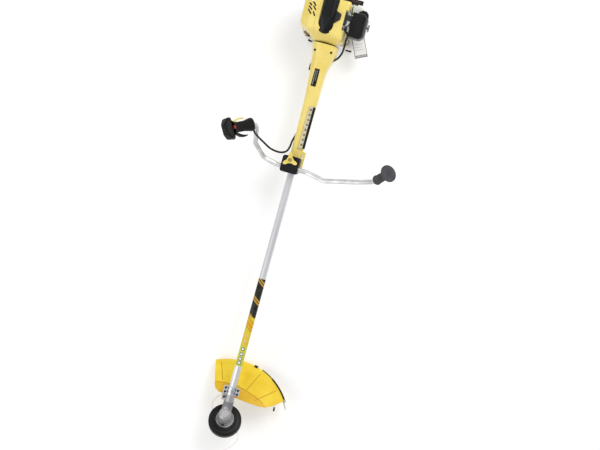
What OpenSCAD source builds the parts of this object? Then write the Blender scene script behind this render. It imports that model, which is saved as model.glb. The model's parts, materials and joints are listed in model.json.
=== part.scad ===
// Brush mower: petrol engine, straight drive tube with handlebar, geared line head and guard.
// The drive tube lies level along X, cutter forward. The machine rests on the engine's stand
// and on the rear edge of the guard. Millimetres.

/* [Drive tube] */
// Outside diameter of the drive tube
tube_d = 28; // [26:0.5:30]
// Wall of the drive tube
tube_wall = 1.5; // [1:0.25:2]
// Diameter of the drive shaft
shaft_d = 8; // [7:0.5:9]
// Height of the drive shaft above the ground
shaft_height = 170; // [165:1:175]
// Handle clamp to the cutter spindle, along the tube
head_reach = 996; // [900:1:1100]
// Handle clamp to the cylinder axis, along the tube
engine_reach = 605; // [595:1:640]

/* [Cutter head] */
// Lean of the spindle from upright
head_tilt = 30; // [28:0.5:32]
// Diameter of the line head
head_d = 130; // [120:1:140]
// Height of the line head
head_h = 46; // [42:1:50]
// Diameter of the steel dish over the line head
dish_d = 70; // [60:1:80]
// Diameter of the output spindle
spindle_d = 10; // [9:0.5:11]
// Diameter of the cutting line
line_d = 2.6; // [2:0.1:3]
// Travel of the bump knob
bump_travel = 5; // [3:0.5:6]
// Teeth of the pinion
pinion_teeth = 15; // [12:1:18]
// Teeth of the output gear
gear_teeth = 21; // [19:1:24]

/* [Guard] */
// Radius of the guard about the spindle
guard_r = 245; // [235:1:250]
// Thickness of the guard
guard_wall = 3; // [2.5:0.25:4]
// Depth of the skirt at the guard's rim
skirt_depth = 25; // [20:1:30]
// Spindle to the guard bracket, along the tube
bracket_back = 102; // [98:1:106]
// Width of the guard bracket across the tube
bracket_w = 64; // [60:1:70]

/* [Handlebar] */
// Outside diameter of the handlebar
bar_d = 20; // [18:0.5:22]
// Wall of the handlebar
bar_wall = 1.75; // [1.25:0.25:2.5]
// Clamp material between the tube and the handlebar
clamp_web = 12; // [10:0.5:14]
// Width of the handle clamp across the tube
clamp_w = 68; // [64:1:72]
// Length of the handle clamp along the tube
clamp_l = 65; // [62:1:68]
// Length of the left grip
left_grip_l = 82; // [76:1:90]
// Diameter of the left grip
left_grip_d = 34; // [30:1:38]
// Diameter of the left grip's end flange
grip_flange_d = 66; // [56:1:72]
// Reach of the arms of the clamp knob
knob_r = 31; // [27:1:34]

/* [Shaft cover] */
// Wall of the shaft cover
cover_wall = 2.5; // [2:0.25:3]
// Diameter of the throttle cable
cable_d = 7; // [5:0.25:8]
// Holes in the harness rail
rail_holes = 8; // [5:1:8]
// Distance between the holes of the harness rail
rail_pitch = 20; // [18:0.5:21]
// Diameter of the holes in the harness rail
rail_hole_d = 9; // [7:0.5:10]

/* [Engine] */
// Cylinder bore
bore_d = 44; // [40:0.5:46]
// Stroke of the piston
stroke = 34; // [30:1:36]
// Length of the connecting rod between its pins
rod_l = 60; // [57:1:63]
// Diameter of the crankcase
case_d = 84; // [80:1:88]
// Diameter of the crank journals
journal_d = 14; // [12:0.5:15]
// Cooling fins on the cylinder
fins = 8; // [6:1:9]
// Fan blades on the flywheel
fan_blades = 14; // [8:1:18]
// Diameter of the fan housing
fan_housing_d = 118; // [116:1:120]
// Wall of the engine cover
shell_wall = 2.5; // [2:0.25:3]
// Diameter of the recoil starter housing
starter_d = 122; // [116:1:124]
// Radius of the rope on the starter pulley
pulley_r = 34; // [30:1:38]
// Diameter of the fuel cap
cap_d = 42; // [36:1:46]

/* [Fits] */
// Radial clearance of a shaft in its bearing
run_gap = 0.05; // [0.03:0.01:0.1]
// Clearance between separate parts
part_gap = 0.3; // [0.25:0.05:0.4]
// Thread diameter of the socket screws
screw_d = 5; // [4:0.5:6]

/* [Hidden] */
$fn = 64;
yellow = "#f2cf3a";
black = "#1c1c1e";
alloy = "#b9bcc0";
steel = "#8e9196";
e = 0.5;                       // overlap that joins shapes of one solid

// Places along the tube, from the handle clamp, forward positive
tube_rear = -engine_reach + 108;
neck_front = head_reach - 38;   // where the tube stops inside the gear case
bar_z = tube_d / 2 + clamp_web + bar_d / 2;

// Heights along the spindle, from the tube's axis, in the head's own frame
dish_z = -36;
head_top = dish_z - 5;
head_bottom = head_top - head_h;
eyelet_z = head_top - head_h / 2;
skirt_bottom = -55;
skirt_top = skirt_bottom + skirt_depth;

// Grip axes: a point on each and its direction
right_grip_at = [-123, -178, 170];
right_grip_dir = [0.35, -0.6, 0.72];
left_grip_at = [-44, 330, 145];
left_grip_dir = [-0.465, 0.465, 0.754];

// The whole machine is centred over the origin
front = head_reach - sin(head_tilt) * (eyelet_z - 8) + cos(head_tilt) * head_d / 2;
rear = engine_reach + 120;
left = left_grip_at[1] + left_grip_dir[1] * left_grip_l + grip_flange_d / 2 * 0.88;
right = 293;
module placed() translate([-(front - rear) / 2, -(left - right) / 2, shaft_height]) children();
module head_frame() placed() translate([head_reach, 0, 0]) rotate([0, -head_tilt, 0]) children();
module engine() placed() translate([-engine_reach, 0, 0]) children();

// ---- Shapes used by several pieces ----

// A round bar along X from x0 to x1
module rod(x0, x1, d, d2 = -1)
    translate([x0, 0, 0]) rotate([0, 90, 0]) cylinder(h = x1 - x0, d1 = d, d2 = d2 < 0 ? d : d2);

// A box from one corner to the other
module block(a, b) translate(a) cube(b - a);

// A round bar along Z from z0 to z1
module post(z0, z1, d) translate([0, 0, z0]) cylinder(h = z1 - z0, d = d);

// Turns a shape's Z axis onto a direction
module aim(dir)
    rotate([0, acos(dir[2] / norm(dir)), atan2(dir[1], dir[0])]) children();

function spline_point(a, b, c, d, t) = 0.5 * (2 * b + (c - a) * t
    + (2 * a - 5 * b + 4 * c - d) * t * t + (3 * b - a - 3 * c + d) * t * t * t);

// A smooth curve through hand-chosen points
function smooth(p, steps) = concat([for (i = [0:len(p) - 2], s = [0:steps - 1])
    spline_point(p[max(i - 1, 0)], p[i], p[i + 1], p[min(i + 2, len(p) - 1)], s / steps)],
    [p[len(p) - 1]]);

function unit(v) = v / norm(v);

// A line through corners, each rounded to an arc of radius r with n steps
function bent(p, r, n) = concat([p[0]], [for (i = [1:len(p) - 2])
    let (a = unit(p[i] - p[i - 1]), b = unit(p[i + 1] - p[i]), turn = acos(a * b),
        c = p[i] + unit(b - a) * r / cos(turn / 2), w = p[i] - a * r * tan(turn / 2) - c)
    for (k = [0:n]) c + w * cos(turn * k / n) + a * r * sin(turn * k / n)], [p[len(p) - 1]]);

function tangent(p, i) = unit(p[min(i + 1, len(p) - 1)] - p[max(i - 1, 0)]);

// A ring of points round a curve
function ring(p, i, r, n, up) = let (t = tangent(p, i), u = unit(cross(up, t)), v = cross(t, u))
    [for (k = [0:n - 1]) p[i] + r * (cos(360 * k / n) * u + sin(360 * k / n) * v)];

// A solid through rings of points, each ring with as many points as the next
module skin(rings) {
    n = len(rings[0]);
    m = len(rings);
    sides = [for (j = [0:m - 2], k = [0:n - 1], f = [0:1]) let (l = (k + 1) % n)
        f == 0 ? [j * n + k, (j + 1) * n + l, j * n + l] : [j * n + k, (j + 1) * n + k, (j + 1) * n + l]];
    polyhedron(points = [for (r = rings, q = r) q],
        faces = concat([[for (k = [0:n - 1]) k]], sides, [[for (k = [n - 1:-1:0]) (m - 1) * n + k]]));
}

module sweep(p, r, n = 8, up = [0, 0, 1]) skin([for (i = [0:len(p) - 1]) ring(p, i, r, n, up)]);

// A rounded rectangle section facing -X: place, half width right and left, height up and down
function soft_section(s, inset, n = 32, k = 0.62) = [for (i = [0:n - 1])
    let (c = cos(360 * i / n), d = -sin(360 * i / n))
    [s[0], sign(c) * pow(abs(c), k) * ((c < 0 ? s[1] : s[2]) - inset),
        sign(d) * pow(abs(d), k) * ((d > 0 ? s[3] : s[4]) - inset)]];

// A socket screw along Z, its head above z = 0
module screw(len) {
    difference() {
        post(0, screw_d, screw_d * 1.7);
        translate([0, 0, screw_d * 0.5]) cylinder(h = screw_d, d = screw_d * 0.9, $fn = 6);
    }
    post(-len, e, screw_d);
}

module ring_solid(x0, x1, outer, inner) difference() {
    rod(x0, x1, outer);
    rod(x0 - 1, x1 + 1, inner);
}

module disc_ring(z0, z1, outer, inner) difference() {
    post(z0, z1, outer);
    post(z0 - 1, z1 + 1, inner);
}

// ---- Drive tube and shaft ----

bushing_places = [-350, 50, 450, 800];
shaft_rear = -engine_reach + 90;
shaft_front = head_reach - 26;
bearing_d = 26;

module drive_tube() placed() color(alloy) ring_solid(tube_rear, neck_front, tube_d, tube_d - 2 * tube_wall);

module drive_shaft() placed() color(steel) rod(shaft_rear, shaft_front, shaft_d);

module drive_bearings() color("#a8784a") {
    placed() {
        for (x = bushing_places)
            ring_solid(x, x + 24, tube_d - 2 * tube_wall - 0.04, shaft_d + 2 * run_gap);
        ring_solid(head_reach - 36, head_reach - 29, bearing_d, 11 + 2 * run_gap);
    }
    engine() ring_solid(92, 102, bearing_d, 12 + 2 * run_gap);
    head_frame() for (z = [20, -29]) disc_ring(z, z + 7, bearing_d, spindle_d + 2 * run_gap);
}

// ---- Gear case and gears ----

neck_d = tube_d + 9;
boss_d = 48;
bracket_l = 30;
neck_rear = head_reach - bracket_back + bracket_l / 2 + part_gap;
neck_slot = 3;
clamp_ear_y = neck_d / 2 + 4;

module gear_case() color("#7d7f83") difference() {
    union() {
        placed() {
            rod(neck_rear, head_reach - 20, neck_d);
            // ears of the split clamp
            block([neck_rear + 2, -clamp_ear_y - 9, -8], [neck_rear + 26, -4, 8]);
            rod(head_reach - 60, head_reach - 20, neck_d + 3);
        }
        head_frame() {
            post(-31, 26, boss_d);
            translate([0, 0, 26 - e]) cylinder(h = 8, d1 = boss_d, d2 = boss_d - 18);
            post(-33, -28, boss_d + 12);
            // nose of the lower flange
            translate([boss_d / 2 + 5, 0, -33]) cylinder(h = 5, d = 16);
            block([0, -14, -33], [boss_d / 2 + 4, 14, -28]);
        }
    }
    placed() {
        rod(neck_rear - 1, neck_front, tube_d);
        rod(neck_front - 1, neck_front + 2, 18);
        rod(head_reach - 36, head_reach - 29, bearing_d);
        rod(head_reach - 30, head_reach, 25);
        block([neck_rear - 1, -clamp_ear_y - 10, -neck_slot / 2], [neck_rear + 30, -4, neck_slot / 2]);
        translate([neck_rear + 13, -clamp_ear_y, -20]) cylinder(h = 40, d = screw_d);
    }
    head_frame() {
        post(-22, 21, boss_d - 8);
        for (z = [20, -29]) post(z, z + 7, bearing_d);
        post(-40, 0, bearing_d - 6);
        translate([boss_d / 2 + 5, 0, -34]) cylinder(h = 10, d = screw_d);
    }
}

// Bevel gears at the tilt that the gear case gives them: pitch cones share their tip
shaft_angle = 90 - head_tilt;
pinion_cone = atan2(sin(shaft_angle), gear_teeth / pinion_teeth + cos(shaft_angle));
gear_cone = shaft_angle - pinion_cone;
cone_far = 23;
cone_near = 15;
tooth_w = 1.8;

// A bevel gear about Z with its tip at the origin and its body above
module bevel(teeth, cone) {
    depth = 2;
    translate([0, 0, cone_near * cos(cone)]) cylinder(h = (cone_far - cone_near) * cos(cone),
        r1 = cone_near * sin(cone) - depth * 0.7, r2 = cone_far * sin(cone) - depth * 0.7);
    for (k = [0:teeth - 1]) rotate([0, 0, 360 * k / teeth]) rotate([0, cone, 0])
        block([-depth, -tooth_w / 2, cone_near + 1], [-part_gap, tooth_w / 2, cone_far - 1]);
}

module pinion_gear() placed() color(steel) {
    difference() {
        union() {
            translate([head_reach, 0, 0]) rotate([0, -90, 0]) bevel(pinion_teeth, pinion_cone);
            rod(head_reach - 38, head_reach - cone_far * cos(pinion_cone) + e, 11);
        }
        rod(head_reach - 39, shaft_front, shaft_d);
    }
}

spindle_top = 27;
module output_gear() head_frame() color(steel) {
    rotate([0, 0, 360 / gear_teeth / 2]) bevel(gear_teeth, gear_cone);
    post(head_bottom + 12, spindle_top, spindle_d);
    post(dish_z, -30 - e, spindle_d + 8);
}

// ---- Line head ----

knob_open_d = 54;
module holder_dish() head_frame() color("#d9dbde") rotate_extrude() polygon([
    [spindle_d / 2, dish_z], [14, dish_z], [18, dish_z - 2], [dish_d / 2 - 4, dish_z - 2],
    [dish_d / 2, dish_z + 1.5], [dish_d / 2, dish_z - 1], [dish_d / 2 - 3, head_top],
    [spindle_d / 2, head_top]]);

module head_housing() head_frame() color(black) difference() {
    r = head_d / 2;
    rotate_extrude($fn = 96) polygon([
        [spindle_d / 2, head_top], [r - 21, head_top], [r - 19, head_top - 4], [r - 9, head_top - 5],
        [r - 7, head_top - 9], [r - 1, head_top - 11], [r, head_top - 14], [r, head_top - 31],
        [r - 3, head_top - 34], [r - 6, head_bottom + 3], [r - 10, head_bottom],
        [knob_open_d / 2 + 3, head_bottom], [knob_open_d / 2 + 3, head_bottom + 3],
        [r - 9, head_bottom + 3], [r - 4, head_top - 30], [r - 4, head_top - 15],
        [r - 11, head_top - 12], [r - 22, head_top - 8], [11, head_top - 8],
        [11, head_top - 15], [spindle_d / 2, head_top - 15]]);
    for (a = [0, 180]) rotate([0, 0, a + 65]) translate([0, 0, eyelet_z]) {
        rod(r - 8, r + 4, line_d + 2 * part_gap);
        rod(r - 2, r + 1, line_d, line_d + 9);
    }
    for (k = [0:23]) rotate([0, 0, 15 * k]) translate([r - 0.8, -1.5, head_top - 30])
        cube([3, 3, 14]);
}

module line_spool() head_frame() color("#2a2b2e") {
    bore = spindle_d + 2 * part_gap;
    rotate_extrude($fn = 96) polygon([
        [bore / 2, head_top - 21], [20, head_top - 21], [head_d / 2 - 16, head_top - 16],
        [head_d / 2 - 16, head_top - 18], [26, head_top - 23], [26, head_bottom + 8],
        [head_d / 2 - 14, head_bottom + 5.5], [head_d / 2 - 14, head_bottom + 3 + part_gap],
        [knob_open_d / 2, head_bottom + 3 + part_gap], [knob_open_d / 2, head_bottom - 8],
        [knob_open_d / 2 - 5, head_bottom - 12], [0, head_bottom - 12],
        [0, head_bottom + 5], [bore / 2, head_bottom + 5]]);
}

spring_turns = 5;
module spool_spring() head_frame() color(steel) {
    steps = 14;
    wire = 1.4;
    low = head_top - 21 + part_gap / 2 + wire / 2;
    rise = head_top - 8 - part_gap / 2 - wire / 2 - low;
    coil = [for (i = [0:spring_turns * steps]) let (a = 360 * i / steps)
        [15 * cos(a), 15 * sin(a), low + rise * i / (spring_turns * steps)]];
    sweep(coil, wire / 2, 6);
}

// The route of a cutting line in the head's own frame, from its eyelet to its free end
line_route = [[22.8, 48.9], [24.9, 53.5], [27.1, 58], [30, 61.6], [36, 65], [44, 68], [53, 69.5],
    [62, 68.5], [71, 65], [80, 60],
    [88, 54], [96, 47], [104, 39], [111, 31], [117, 22], [122, 12], [126, 1], [129, -10], [131, -20]];
module cutting_line() head_frame() color("#f1f1ee")
    sweep([for (q = line_route) [q[0], q[1], eyelet_z]], line_d / 2, 8);
module cutting_line_a() cutting_line();
module cutting_line_b() head_frame() color("#f1f1ee")
    sweep([for (q = line_route) [-q[0], -q[1], eyelet_z]], line_d / 2, 8);

// ---- Guard ----

guard_in = 76;                 // radius where the guard begins
guard_crown = 7;               // height of the guard there
pad_z = 8;                     // top of the mounting pad
pad_back = [97, 131];          // the pad's reach behind the spindle
pad_w = 40;

// A point behind the spindle given in the head's own frame, in the tube's frame
function from_head(back, z) = [-sin(head_tilt) * z - cos(head_tilt) * back,
    cos(head_tilt) * z - sin(head_tilt) * back];

// Outline of the guard seen along the spindle, forward and left of it
guard_plan = [[-115, -79], [-97, -70], [-86, -52], [-82, -10], [-75, 60], [-75, 110], [-80, 140],
    [-98, 168], [-130, 203], [-146, 236], [-230, 215], [-300, 60], [-290, -60], [-250, -117]];

guard_edge_in = guard_in - 10;
guard_shoulder = [guard_r - 14, skirt_top + 4];
guard_slope = atan2(guard_crown - guard_shoulder[1], guard_shoulder[0] - guard_edge_in);
module guard_shell() rotate([0, 0, 90]) rotate_extrude(angle = 180, $fn = 180) polygon([
    [guard_edge_in, guard_crown], guard_shoulder, [guard_r - 5, skirt_top],
    [guard_r, skirt_top - 8], [guard_r, skirt_bottom], [guard_r - guard_wall, skirt_bottom],
    [guard_r - guard_wall, skirt_top - 8], [guard_r - 6, skirt_top - guard_wall],
    guard_shoulder - [1, guard_wall], [guard_edge_in, guard_crown - guard_wall]]);

module guard() head_frame() color(yellow) {
    difference() {
        union() {
            intersection() {
                guard_shell();
                translate([0, 0, skirt_bottom - 5]) linear_extrude(height = 90) polygon(guard_plan);
            }
            block([-pad_back[1], -pad_w / 2, -9], [-pad_back[0], pad_w / 2, pad_z]);
            // stiffening ribs under the plate
            for (a = [-14, 20, 40]) rotate([0, 0, 180 - a])
                translate([guard_edge_in, 0, guard_crown - guard_wall]) rotate([0, guard_slope, 0])
                    block([70, -1.5, -6], [160, 1.5, 1]);
        }
        for (y = [-12, 12]) translate([-114, y, -20]) cylinder(h = 40, d = screw_d);
    }
}

module guard_edge_trim() head_frame() color(black) rotate([0, 0, 180 - 56])
    rotate_extrude(angle = 36, $fn = 180)
    translate([guard_r, skirt_bottom + 8]) square([2, 12]);

module line_knife() head_frame() color(steel) rotate([0, 0, 180 - 58.5])
    translate([guard_r - guard_wall - 0.7, 0, skirt_bottom]) {
        block([-2, -16, -6], [0, 18, 18]);
        block([-2, -22, -6], [0, -15, 6]);
    }

bracket_x = head_reach - bracket_back;
bracket_h = 20;
bracket_screws = [for (x = [-8, 8], y = [-24, 24]) [x, y]];

module bracket_half(side) translate([bracket_x, 0, 0]) difference() {
    union() {
        block([-bracket_l / 2, -bracket_w / 2, side > 0 ? part_gap : -bracket_h * 0.55],
            [bracket_l / 2, bracket_w / 2, side > 0 ? bracket_h * 0.55 : -part_gap]);
        intersection() {
            rod(-bracket_l / 2, bracket_l / 2, tube_d + 12);
            block([-bracket_l, -bracket_w, side > 0 ? part_gap : -bracket_w],
                [bracket_l, bracket_w, side > 0 ? bracket_w : -part_gap]);
        }
    }
    rod(-bracket_l, bracket_l, tube_d);
    for (p = bracket_screws) translate([p[0], p[1], -40]) cylinder(h = 80, d = screw_d);
}

module guard_bracket_cap() placed() color(alloy) bracket_half(1);

module guard_bracket() color(alloy) difference() {
    a = from_head(pad_back[0] + 2, pad_z);
    b = from_head(pad_back[1] - 2, pad_z);
    union() {
        placed() bracket_half(-1);
        placed() translate([head_reach, pad_w / 2 - 3, 0]) rotate([90, 0, 0])
            linear_extrude(height = pad_w - 6) polygon([
                [-bracket_back - bracket_l / 2, -bracket_h + 4],
                    [-bracket_back + bracket_l / 2, -bracket_h + 4],
                a, b]);
    }
    head_frame() for (y = [-12, 12]) translate([-114, y, 0]) cylinder(h = 20, d = screw_d);
    placed() rod(bracket_x - 40, bracket_x + 40, tube_d);
}

// ---- Handle clamp ----

clamp_y = -9;                  // the clamp sits a little to the operator's right
clamp_x = [-clamp_l + 20, 20];
clamp_low = -26;
clamp_high = bar_z + 24;
clamp_r = 8;
clamp_screws = [for (x = [clamp_x[0] + 9, clamp_x[1] - 6.5], y = [-1, 1]) [x,
    clamp_y + y * (clamp_w / 2 - 8)]];
knob_at = [-30, clamp_y - 3];

// Block with round corners between two heights
module clamp_block(z0, z1) translate([0, 0, z0]) linear_extrude(height = z1 - z0) {
    x = [clamp_x[0] + clamp_r, clamp_x[1] - clamp_r];
    y = [clamp_y - clamp_w / 2 + clamp_r, clamp_y + clamp_w / 2 - clamp_r];
    for (a = x, b = y) translate([a, b]) circle(clamp_r);
    translate([x[0] - clamp_r, y[0]]) square([clamp_l, y[1] - y[0]]);
    translate([x[0], y[0] - clamp_r]) square([x[1] - x[0], clamp_w]);
}

module clamp_holes(z0, z1) for (p = clamp_screws) translate([p[0], p[1], z0])
    cylinder(h = z1 - z0, d = screw_d);

module bar_bore() translate([0, -100, bar_z]) rotate([-90, 0, 0])
    cylinder(h = 200, d = bar_d + 2 * run_gap);

module clamp_lower() placed() color(black) difference() {
    clamp_block(clamp_low, -part_gap);
    rod(-100, 100, tube_d);
    clamp_holes(clamp_low + 8, 10);
}

module clamp_middle() placed() color(black) difference() {
    clamp_block(part_gap, bar_z - part_gap);
    rod(-100, 100, tube_d);
    bar_bore();
    clamp_holes(-10, 60);
    translate([knob_at[0], knob_at[1], bar_z - 14]) cylinder(h = 30, d = 8 + 2 * run_gap);
}

module clamp_top() placed() color(black) difference() {
    clamp_block(bar_z + part_gap, clamp_high);
    bar_bore();
    for (p = clamp_screws) translate([p[0], p[1], clamp_high - screw_d - 1])
        cylinder(h = 20, d = screw_d * 1.7 + 1);
    clamp_holes(0, 100);
    translate([knob_at[0], knob_at[1], 0]) cylinder(h = 100, d = 8 + 2 * run_gap);
    // forward top edge slopes down over the bar
    translate([clamp_x[1] - 4, clamp_y - clamp_w, clamp_high]) rotate([0, 35, 0])
        translate([-2, 0, -4]) cube([20, 2 * clamp_w, 20]);
}

knob_turn = 190;
module clamp_knob() placed() translate([knob_at[0], knob_at[1], clamp_high + part_gap]) {
    color(yellow) difference() {
        union() {
            cylinder(h = 9, d = 26);
            // three rounded arms, from a radius that rises and falls round the hub
            linear_extrude(height = 7) polygon([for (a = [0:5:355])
                let (arm = (1 + cos(3 * (a - knob_turn))) / 2, r = 10 + (knob_r - 10) * pow(arm, 2))
                [r * cos(a), r * sin(a)]]);
        }
        translate([0, 0, 6]) cylinder(h = 10, d = 14);
    }
    color("#8a7420") union() {
        post(5, 8, 12);
        post(bar_z - clamp_high - 13, 6, 8);
    }
}

// ---- Handlebar and grips ----

bar_bend = 38;                 // radius of the bends
bar_in_grip = 44;
// Corners of the bent bar, from the throttle grip to the left grip
bar_route = [right_grip_at + bar_in_grip * right_grip_dir, right_grip_at - 27 * right_grip_dir,
    [-60, -158, 88], [-13, -116, 42], [0, -64, bar_z], [0, 60, bar_z], [14, 132, bar_z + 8],
    [-19, 270, 94], left_grip_at - 18 * left_grip_dir, left_grip_at + bar_in_grip * left_grip_dir];
bar_curve = bent(bar_route, bar_bend, 4);
bar_inside = concat([bar_route[0] + right_grip_dir], bar_curve,
    [bar_route[len(bar_route) - 1] + left_grip_dir]);

module handlebar() placed() color("#c9cbcf") difference() {
    sweep(bar_curve, bar_d / 2, 16, [0.2, 0.1, 1]);
    sweep(bar_inside, bar_d / 2 - bar_wall, 8, [0.2, 0.1, 1]);
}

module left_grip() placed() color(black) translate(left_grip_at) aim(left_grip_dir) difference() {
    r = left_grip_d / 2;
    rotate_extrude() polygon([[0, 0], [r + 2, 0], [r + 2, 4], [r, 7], [r - 1, left_grip_l * 0.5],
        [r, left_grip_l - 16], [r + 4, left_grip_l - 9], [grip_flange_d / 2 - 2, left_grip_l - 8],
        [grip_flange_d / 2, left_grip_l - 6], [grip_flange_d / 2, left_grip_l - 2],
        [grip_flange_d / 2 - 3, left_grip_l], [0, left_grip_l]]);
    post(-1, 48, bar_d + 0.1);
}

// The throttle handle, its axis along Z: fingers at +Y, palm at -Y, top face at -X
handle_sections = [[0, 19, 25], [8, 20, 26], [20, 19, 23], [38, 17.5, 20.5], [70, 17.5, 20.5],
    [86, 19, 23], [96, 22, 30]];
housing_z = 92;
housing_l = 42;
trigger_pivot = [0, 20, 88];
lockout_pivot = [0, -19, 84];
pivot_d = 4;

module throttle_frame() placed() translate(right_grip_at) aim(right_grip_dir) children();

function handle_ring(s, inset) = [for (i = [0:27]) let (a = 360 * i / 28)
    [(s[1] - inset) * sign(cos(a)) * pow(abs(cos(a)), 0.85),
        (s[2] - inset) * sign(sin(a)) * pow(abs(sin(a)), 0.85), s[0]]];

module throttle_grip() throttle_frame() color(black) {
    difference() {
        union() {
            skin([for (s = handle_sections) handle_ring(s, 0)]);
            hull() {
                for (y = [-34, 34]) translate([0, y, housing_z + 8]) sphere(9, $fn = 20);
                for (y = [-32, 30], x = [-14, 12]) translate([x, y, housing_z + 22]) sphere(9, $fn = 20);
                for (y = [-18, 16], x = [-8, 8]) translate([x, y, housing_z + housing_l - 9])
                    sphere(9, $fn = 20);
            }
        }
        post(-1, 46, bar_d + 0.1);
        // slot of the trigger, slot of the lockout lever, recess of the stop switch
        block([-7.5, 12, 26], [7.5, 60, 94]);
        block([-7.5, -60, 24], [7.5, -13, 91]);
        block([-60, -6, 96], [-16, 6, 110]);
    }
    translate([-9, trigger_pivot[1], trigger_pivot[2]]) rotate([0, 90, 0]) cylinder(h = 18, d = pivot_d);
    translate([-9, lockout_pivot[1], lockout_pivot[2]]) rotate([0, 90, 0]) cylinder(h = 18, d = pivot_d);
}

// A lever in the YZ plane with a pivot hole
module lever(outline, pivot, width) difference() {
    translate([-width / 2, 0, 0]) rotate([90, 0, 90]) linear_extrude(height = width) polygon(outline);
    translate([-width, pivot[1], pivot[2]]) rotate([0, 90, 0])
        cylinder(h = 2 * width, d = pivot_d + 2 * run_gap);
}

module throttle_trigger() throttle_frame() color(black)
    lever([[15, 92], [24, 93], [27, 84], [38, 66], [41, 48], [38, 34], [35, 34], [34, 46], [30, 62],
        [22, 78], [15, 82]], trigger_pivot, 14);

module lockout_lever() throttle_frame() color("#e8cf1e")
    lever([[-15, 89], [-23, 89], [-28, 78], [-33, 60], [-33, 42], [-29, 32], [-26, 32], [-27, 46],
        [-26, 60], [-21, 76], [-15, 79]], lockout_pivot, 14);

module stop_switch() throttle_frame() color("#b3322a") {
    block([-27, -6 + part_gap, 97], [-16 - part_gap, 6 - part_gap, 105]);
}

// ---- Throttle cable, whole along its route from the handle to the carburettor ----

// From the handle into the shaft cover, measured from the handle clamp
cable_front = [[-104, -166, 160], [-95, -160, 150], [-84, -147, 130], [-69, -124, 101], [-54, -99, 76],
    [-48, -72, 56], [-50, -52, 42], [-60, -37, 28], [-80, -31, 16], [-104, -29, 8], [-130, -22, 5],
    [-160, -18, 5], [-220, -18, 5], [-300, -18.5, 5]];
// Out of the cover and up to the carburettor, measured from the cylinder axis
cable_back = [[225, -19, 5], [205, -16, 16], [189, 2, 25], [175, 26, 22], [161, 44, 17], [145, 59, 15],
    [125, 68, 16], [103, 71, 19], [77, 71, 28], [62, 73, 42], [53, 73, 60], [49, 71, 78], [45, 64, 88],
    [41, 61.2, 91], [36.3, 61, 91]];
cable_curve = smooth(concat(cable_front, [for (p = cable_back) p - [engine_reach, 0, 0]]), 3);
module throttle_cable() placed() color(black) sweep(cable_curve, cable_d / 2, 8, [0.1, 0.2, 1]);

// ---- Shaft cover ----

// Place, half width right and left, height up and down
cover_sections = [[clamp_x[0] - 1, 23.5, 23.5, 24.5, 21.5], [-120, 24, 25, 26, 24],
    [-200, 25.5, 26, 28, 25], [tube_rear + 207, 28, 28.5, 32, 27], [tube_rear + 127, 34, 29, 38, 31],
    [tube_rear + 95, 38, 32, 44, 34], [tube_rear + 57, 41, 44, 55, 42],
    [tube_rear + 27, 48, 53, 66, 50], [tube_rear + 1, 55, 50, 72, 54]];
rail_x = [-250, -84];
rail_y = 3;
rail_z = 23;
rail_w = 15;
rail_h = 14;
rail_t = 3;
pad_wide = 10;
plate_tilt = 4.5;
cover_screw_at = [[tube_rear + 32, -33, 58], [tube_rear + 28, 31, 60]];
rib_places = [-75, (tube_rear - 75) / 2, tube_rear + 112];

cover_last = cover_sections[len(cover_sections) - 1];
module cover_shell() difference() {
    skin([for (s = cover_sections) soft_section(s, 0)]);
    skin(concat([soft_section(cover_sections[0] + [2, 0, 0, 0, 0], cover_wall)],
        [for (s = cover_sections) soft_section(s, cover_wall)],
        [soft_section(cover_last - [2, 0, 0, 0, 0], cover_wall)]));
}

module plate_frame() translate([tube_rear + 134, -5, 36.4]) rotate([0, plate_tilt, 0]) children();

// Ribs that hold the drive tube and bosses of the screws, in the upper or the lower half
module cover_ribs(side) intersection() {
    skin([for (s = cover_sections) soft_section(s, 1)]);
    union() {
        for (x = rib_places) difference() {
            block([x, -90, side > 0 ? part_gap : -22], [x + 5, 90, side > 0 ? 22 : -part_gap]);
            rod(x - 10, x + 10, tube_d);
        }
        for (p = cover_screw_at) translate([p[0], p[1], 0])
            post(side > 0 ? part_gap : -80, side > 0 ? 80 : -part_gap, 12);
    }
}

// Where the throttle cable enters, runs through and leaves the cover
module cable_ways() {
    translate([-122, -24, 6]) aim([-26, 7, -2]) post(-20, 20, cable_d + 2);
    translate([0, -18.5, 5]) rod(tube_rear + 100, -140, cable_d + 3);
    translate([tube_rear + 53, 44, 17]) aim([-16, 17, -3]) post(-16, 16, cable_d + 2);
}

module shaft_cover_upper() placed() color(yellow) difference() {
    union() {
        intersection() {
            cover_shell();
            block([-engine_reach, -100, part_gap], [0, 100, 120]);
        }
        cover_ribs(1);
        // pad of the name plate, and its seat
        intersection() {
            plate_frame() block([-38, -13, -12], [38, 13, 1]);
            block([tube_rear, -60, 12], [tube_rear + 197, 60, 60]);
        }
        // floor under the harness rail
        intersection() {
            skin([for (s = cover_sections) soft_section(s, 0)]);
            block([rail_x[0] - 3, 0, rail_z - 2.5], [rail_x[1] + 3, 60, rail_z]);
        }
        // tongue beside the handle clamp
        block([-72, 27, part_gap], [-10, 36, 17]);
        block([-72, 19, 6], [-60, 30, 16]);
    }
    plate_frame() block([-35, -10, 0], [35, 10, 5]);
    cable_ways();
    for (p = cover_screw_at) {
        translate([p[0], p[1], p[2] - 6]) cylinder(h = 40, d = 10);
        translate([p[0], p[1], -1]) cylinder(h = 80, d = screw_d);
    }
    // seat of the harness rail
    block([rail_x[0] - part_gap, rail_y - part_gap, rail_z], [rail_x[1] + part_gap, 60, 60]);
}

module shaft_cover_lower() placed() color(yellow) difference() {
    union() {
        intersection() {
            cover_shell();
            block([-engine_reach, -100, -120], [0, 100, -part_gap]);
        }
        cover_ribs(-1);
    }
    cable_ways();
    for (p = cover_screw_at) translate([p[0], p[1], -26]) cylinder(h = 40, d = screw_d);
}

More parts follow.
